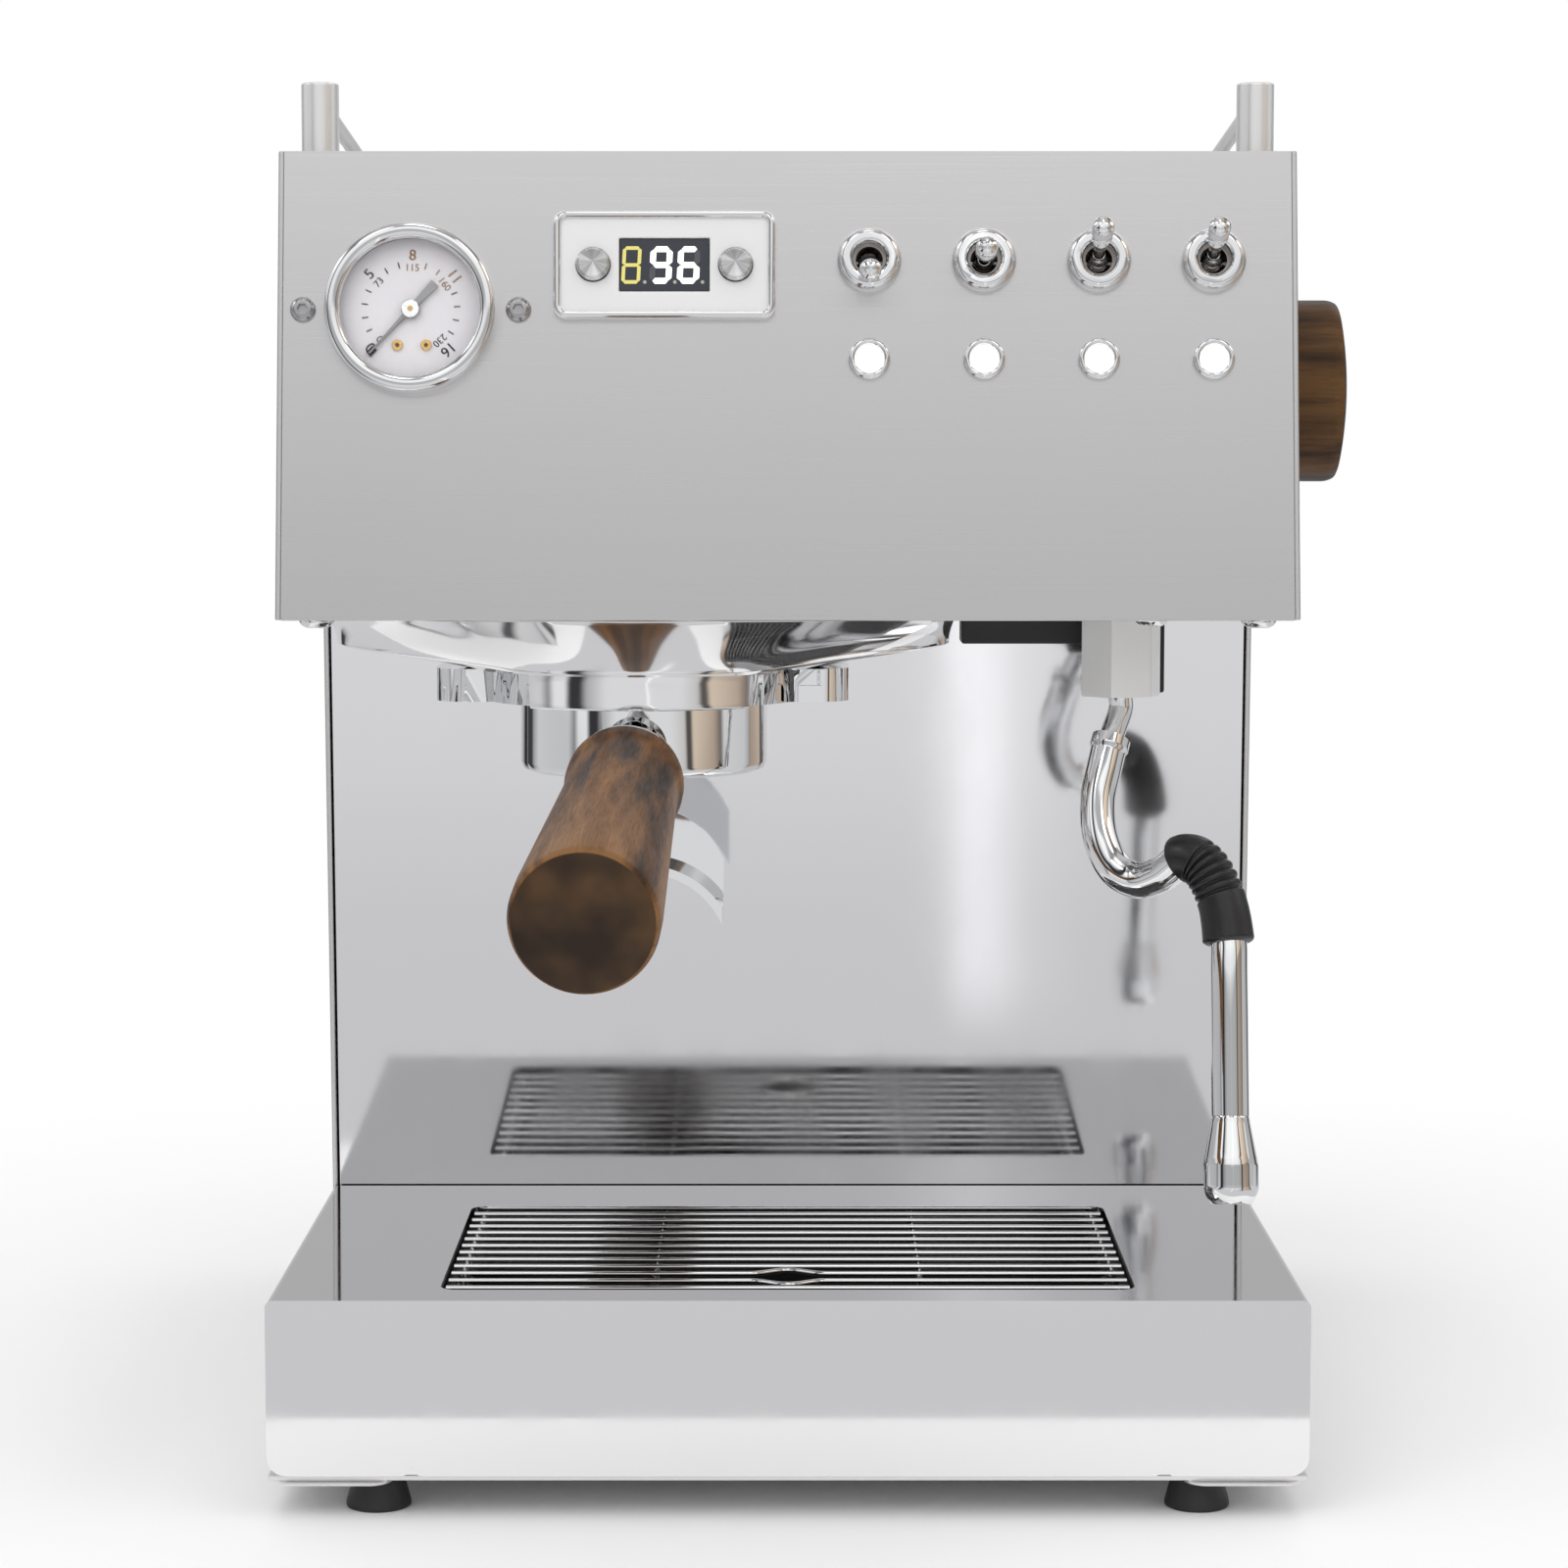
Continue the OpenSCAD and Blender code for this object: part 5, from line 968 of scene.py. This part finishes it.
def makeGauge():
    dial = onFascia(boxMiddle("gauge_dial")) @ Matrix.Translation((0, 0, gauge["printUp"] * mm))
    onDisc = Matrix.Translation((0, 0, gauge["inlayUp"] * mm))
    black = mouldedPlastic("print_black", (0.01, 0.01, 0.01), 0.5)
    bronze = mouldedPlastic("print_bronze", (0.27, 0.14, 0.055), 0.5)
    marks = []
    for bar in range(17):
        turn = Matrix.Rotation(-math.radians(gauge["eightBarAt"] + gauge["degreesPerBar"] * (bar - 8)), 4, "Z")
        ink = bronze if 8 <= bar <= 11 else black
        if bar in barNumbers:
            upright = turn @ Matrix.Translation((0, gauge["barRadius"] * mm, 0))
            marks.append(addNumber(barNumbers[bar], gauge["barHigh"], dial @ upright, ink))
            small = turn @ Matrix.Translation((0, gauge["psiRadius"] * mm, 0))
            marks.append(addNumber(psiNumbers[bar], gauge["psiHigh"], dial @ small, ink))
        elif bar:
            marks.append(addTick(dial @ turn, gauge["tickInner"], gauge["tickOuter"], gauge["tickWide"], ink))
    turn = Matrix.Rotation(-math.radians(gauge["stopAt"]), 4, "Z")
    wide, long, thick = gauge["stop"]
    bpy.ops.mesh.primitive_cube_add(size=1)
    stop = nameNew("stop")
    settle(stop, dial @ turn @ Matrix.Scale(mm, 4) @ Matrix.Translation((0, gauge["stopRadius"], thick / 2))
           @ Matrix.Diagonal((wide, long, thick, 1)))
    paint(stop, black)
    marks.append(stop)
    piece = joinPieces(marks, "dial_print")
    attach(piece, "machine")
    dialBrass = polishedMetal("dial_brass", (0.75, 0.5, 0.2), 0.18)
    # painted shade: a dark disc on each screw's face stands in for the shaded hollow of its socket
    paintedSocketShade = mouldedPlastic("screw_socket_painted_shade", (0.09, 0.05, 0.02), 0.4)
    screws = []
    for x, y in gauge["screws"]:
        place = dial @ Matrix.Translation((x * mm, y * mm, 0))
        screws.append(addDisc(gauge["screw"], gauge["discHigh"], place, dialBrass))
        # the painted shade of the socket's hollow, laid on the screw's face
        socket = gauge["screw"] * gauge["socketShare"]
        screws.append(addDisc(socket, gauge["socketHigh"], place @ onDisc, paintedSocketShade, 6))
    piece = joinPieces(screws, "dial_screws")
    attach(piece, "machine")
    # the hub turns with the needle
    needleTop = max((dial.inverted() @ vertex.co).z for vertex in frame["nodes"]["gauge_needle"].data.vertices)
    hubPlace = dial @ Matrix.Translation((0, 0, needleTop))
    cap = addDisc(gauge["hub"], gauge["discHigh"], hubPlace, chromePlate)
    pin = addDisc(gauge["hubPin"], gauge["pinHigh"], hubPlace @ onDisc, dialBrass)
    piece = joinPieces([cap, pin], "needle_hub")
    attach(piece, "needle")


makeGauge()
print("gauge made")

# rounded chrome rims that lie on the panel's flat fittings, in millimetres
rims = {"bezel": (20.5, 1.95, 1.05), "bezelUp": 5.15, "lamp": (4.6, 0.9, 0.9), "lampUp": 5.3,
        "plateHalf": (28.3, 13.35), "plateCorner": 2.6, "plateRim": 0.95, "plateUp": 1.15,
        "leverBall": 2.45, "leverBallUp": 3.5,
        "ballSeat": -1.7, "ballNeck": 1.5, "neckHigh": 0.7, "neckTaper": 0.88}


def addRoll(major, minor, high, matrix):
    bpy.ops.mesh.primitive_torus_add(major_radius=major, minor_radius=minor, major_segments=96, minor_segments=16)
    piece = nameNew("roll")
    # flat underneath, where it sits
    for vertex in piece.data.vertices:
        vertex.co.z = max(vertex.co.z, -minor / 2)
    bpy.ops.object.shade_smooth_by_angle(angle=math.radians(40))
    settle(piece, matrix @ Matrix.Scale(mm, 4) @ Matrix.Diagonal((1, 1, high / minor, 1)))
    paint(piece, chromePlate)
    return piece


def addLeverBall(name, matrix):
    # a ball with a flat foot and a short neck, out of which the lever grows
    bpy.ops.mesh.primitive_uv_sphere_add(radius=rims["leverBall"], segments=32, ring_count=16)
    piece = nameNew(name)
    bpy.ops.object.mode_set(mode="EDIT")
    bpy.ops.mesh.select_all(action="SELECT")
    bpy.ops.mesh.bisect(plane_co=(0, 0, rims["ballSeat"]), plane_no=(0, 0, 1), use_fill=True, clear_inner=True)
    bpy.ops.mesh.select_all(action="SELECT")
    bpy.ops.mesh.bisect(plane_co=(0, 0, rims["ballNeck"]), plane_no=(0, 0, 1), use_fill=True, clear_outer=True)
    bpy.ops.mesh.select_all(action="DESELECT")
    bpy.ops.object.mode_set(mode="OBJECT")
    for face in piece.data.polygons:
        face.select = face.center.z > rims["ballNeck"] - 0.01
    bpy.ops.object.mode_set(mode="EDIT")
    bpy.ops.mesh.extrude_region_move(TRANSFORM_OT_translate={"value": (0, 0, rims["neckHigh"])})
    bpy.ops.transform.resize(value=(rims["neckTaper"], rims["neckTaper"], 1),
                             center_override=(0, 0, rims["ballNeck"] + rims["neckHigh"]))
    bpy.ops.object.mode_set(mode="OBJECT")
    bpy.ops.object.shade_smooth_by_angle(angle=math.radians(40))
    settle(piece, matrix @ Matrix.Scale(mm, 4))
    paint(piece, chromePlate)
    return piece


def plateOutline():
    # once round the display's plate, with eight steps at each corner
    halfX, halfY = rims["plateHalf"]
    corner = rims["plateCorner"]
    outline = []
    for quarter in range(4):
        signX = (1, -1, -1, 1)[quarter]
        signY = (1, 1, -1, -1)[quarter]
        for step in range(9):
            turn = math.pi / 2 * (quarter + step / 8)
            outline.append(Vector((signX * (halfX - corner) + corner * math.cos(turn),
                                   signY * (halfY - corner) + corner * math.sin(turn), rims["plateUp"])))
    return outline


def makeRims():
    dial = onFascia(boxMiddle("gauge_dial"))
    roll = addRoll(*rims["bezel"], dial @ Matrix.Translation((0, 0, rims["bezelUp"] * mm)))
    roll.name = roll.data.name = "gauge_bezel_roll"
    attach(roll, "machine")
    toggles = [joint for joint in frame["joints"] if joint["name"].endswith("_toggle")]
    rolls = []
    for joint in toggles:
        pivot = Vector(joint["pos_m"])
        panel = onFascia(pivot)
        lens = [panel.inverted() @ vertex.co for vertex in frame["nodes"]["lamp_lenses"].data.vertices
                if abs(vertex.co.x - pivot.x) < 0.012]
        down = (min(spot.y for spot in lens) + max(spot.y for spot in lens)) / 2
        rolls.append(addRoll(*rims["lamp"], panel @ Matrix.Translation((0, down, rims["lampUp"] * mm))))
        lever = joint["child"].replace("_switch", "_lever")
        spots = [vertex.co for vertex in frame["nodes"][lever].data.vertices]
        along = (sum(spots, Vector()) / len(spots) - pivot).normalized()
        ball = addLeverBall(lever + "_ball", Matrix.Translation(pivot + along * rims["leverBallUp"] * mm)
                            @ along.to_track_quat("Z", "Y").to_matrix().to_4x4())
        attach(ball, joint["child"])
    piece = joinPieces(rolls, "lamp_rolls")
    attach(piece, "machine")
    plate = onFascia(boxMiddle("display_frame"))
    outline = [(plate @ (spot * mm)) / mm for spot in plateOutline()]
    rim = sweepTube("display_rim", outline, [rims["plateRim"]] * len(outline), Vector(), True)
    paint(rim, chromePlate)
    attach(rim, "machine")


makeRims()
print("rims made")
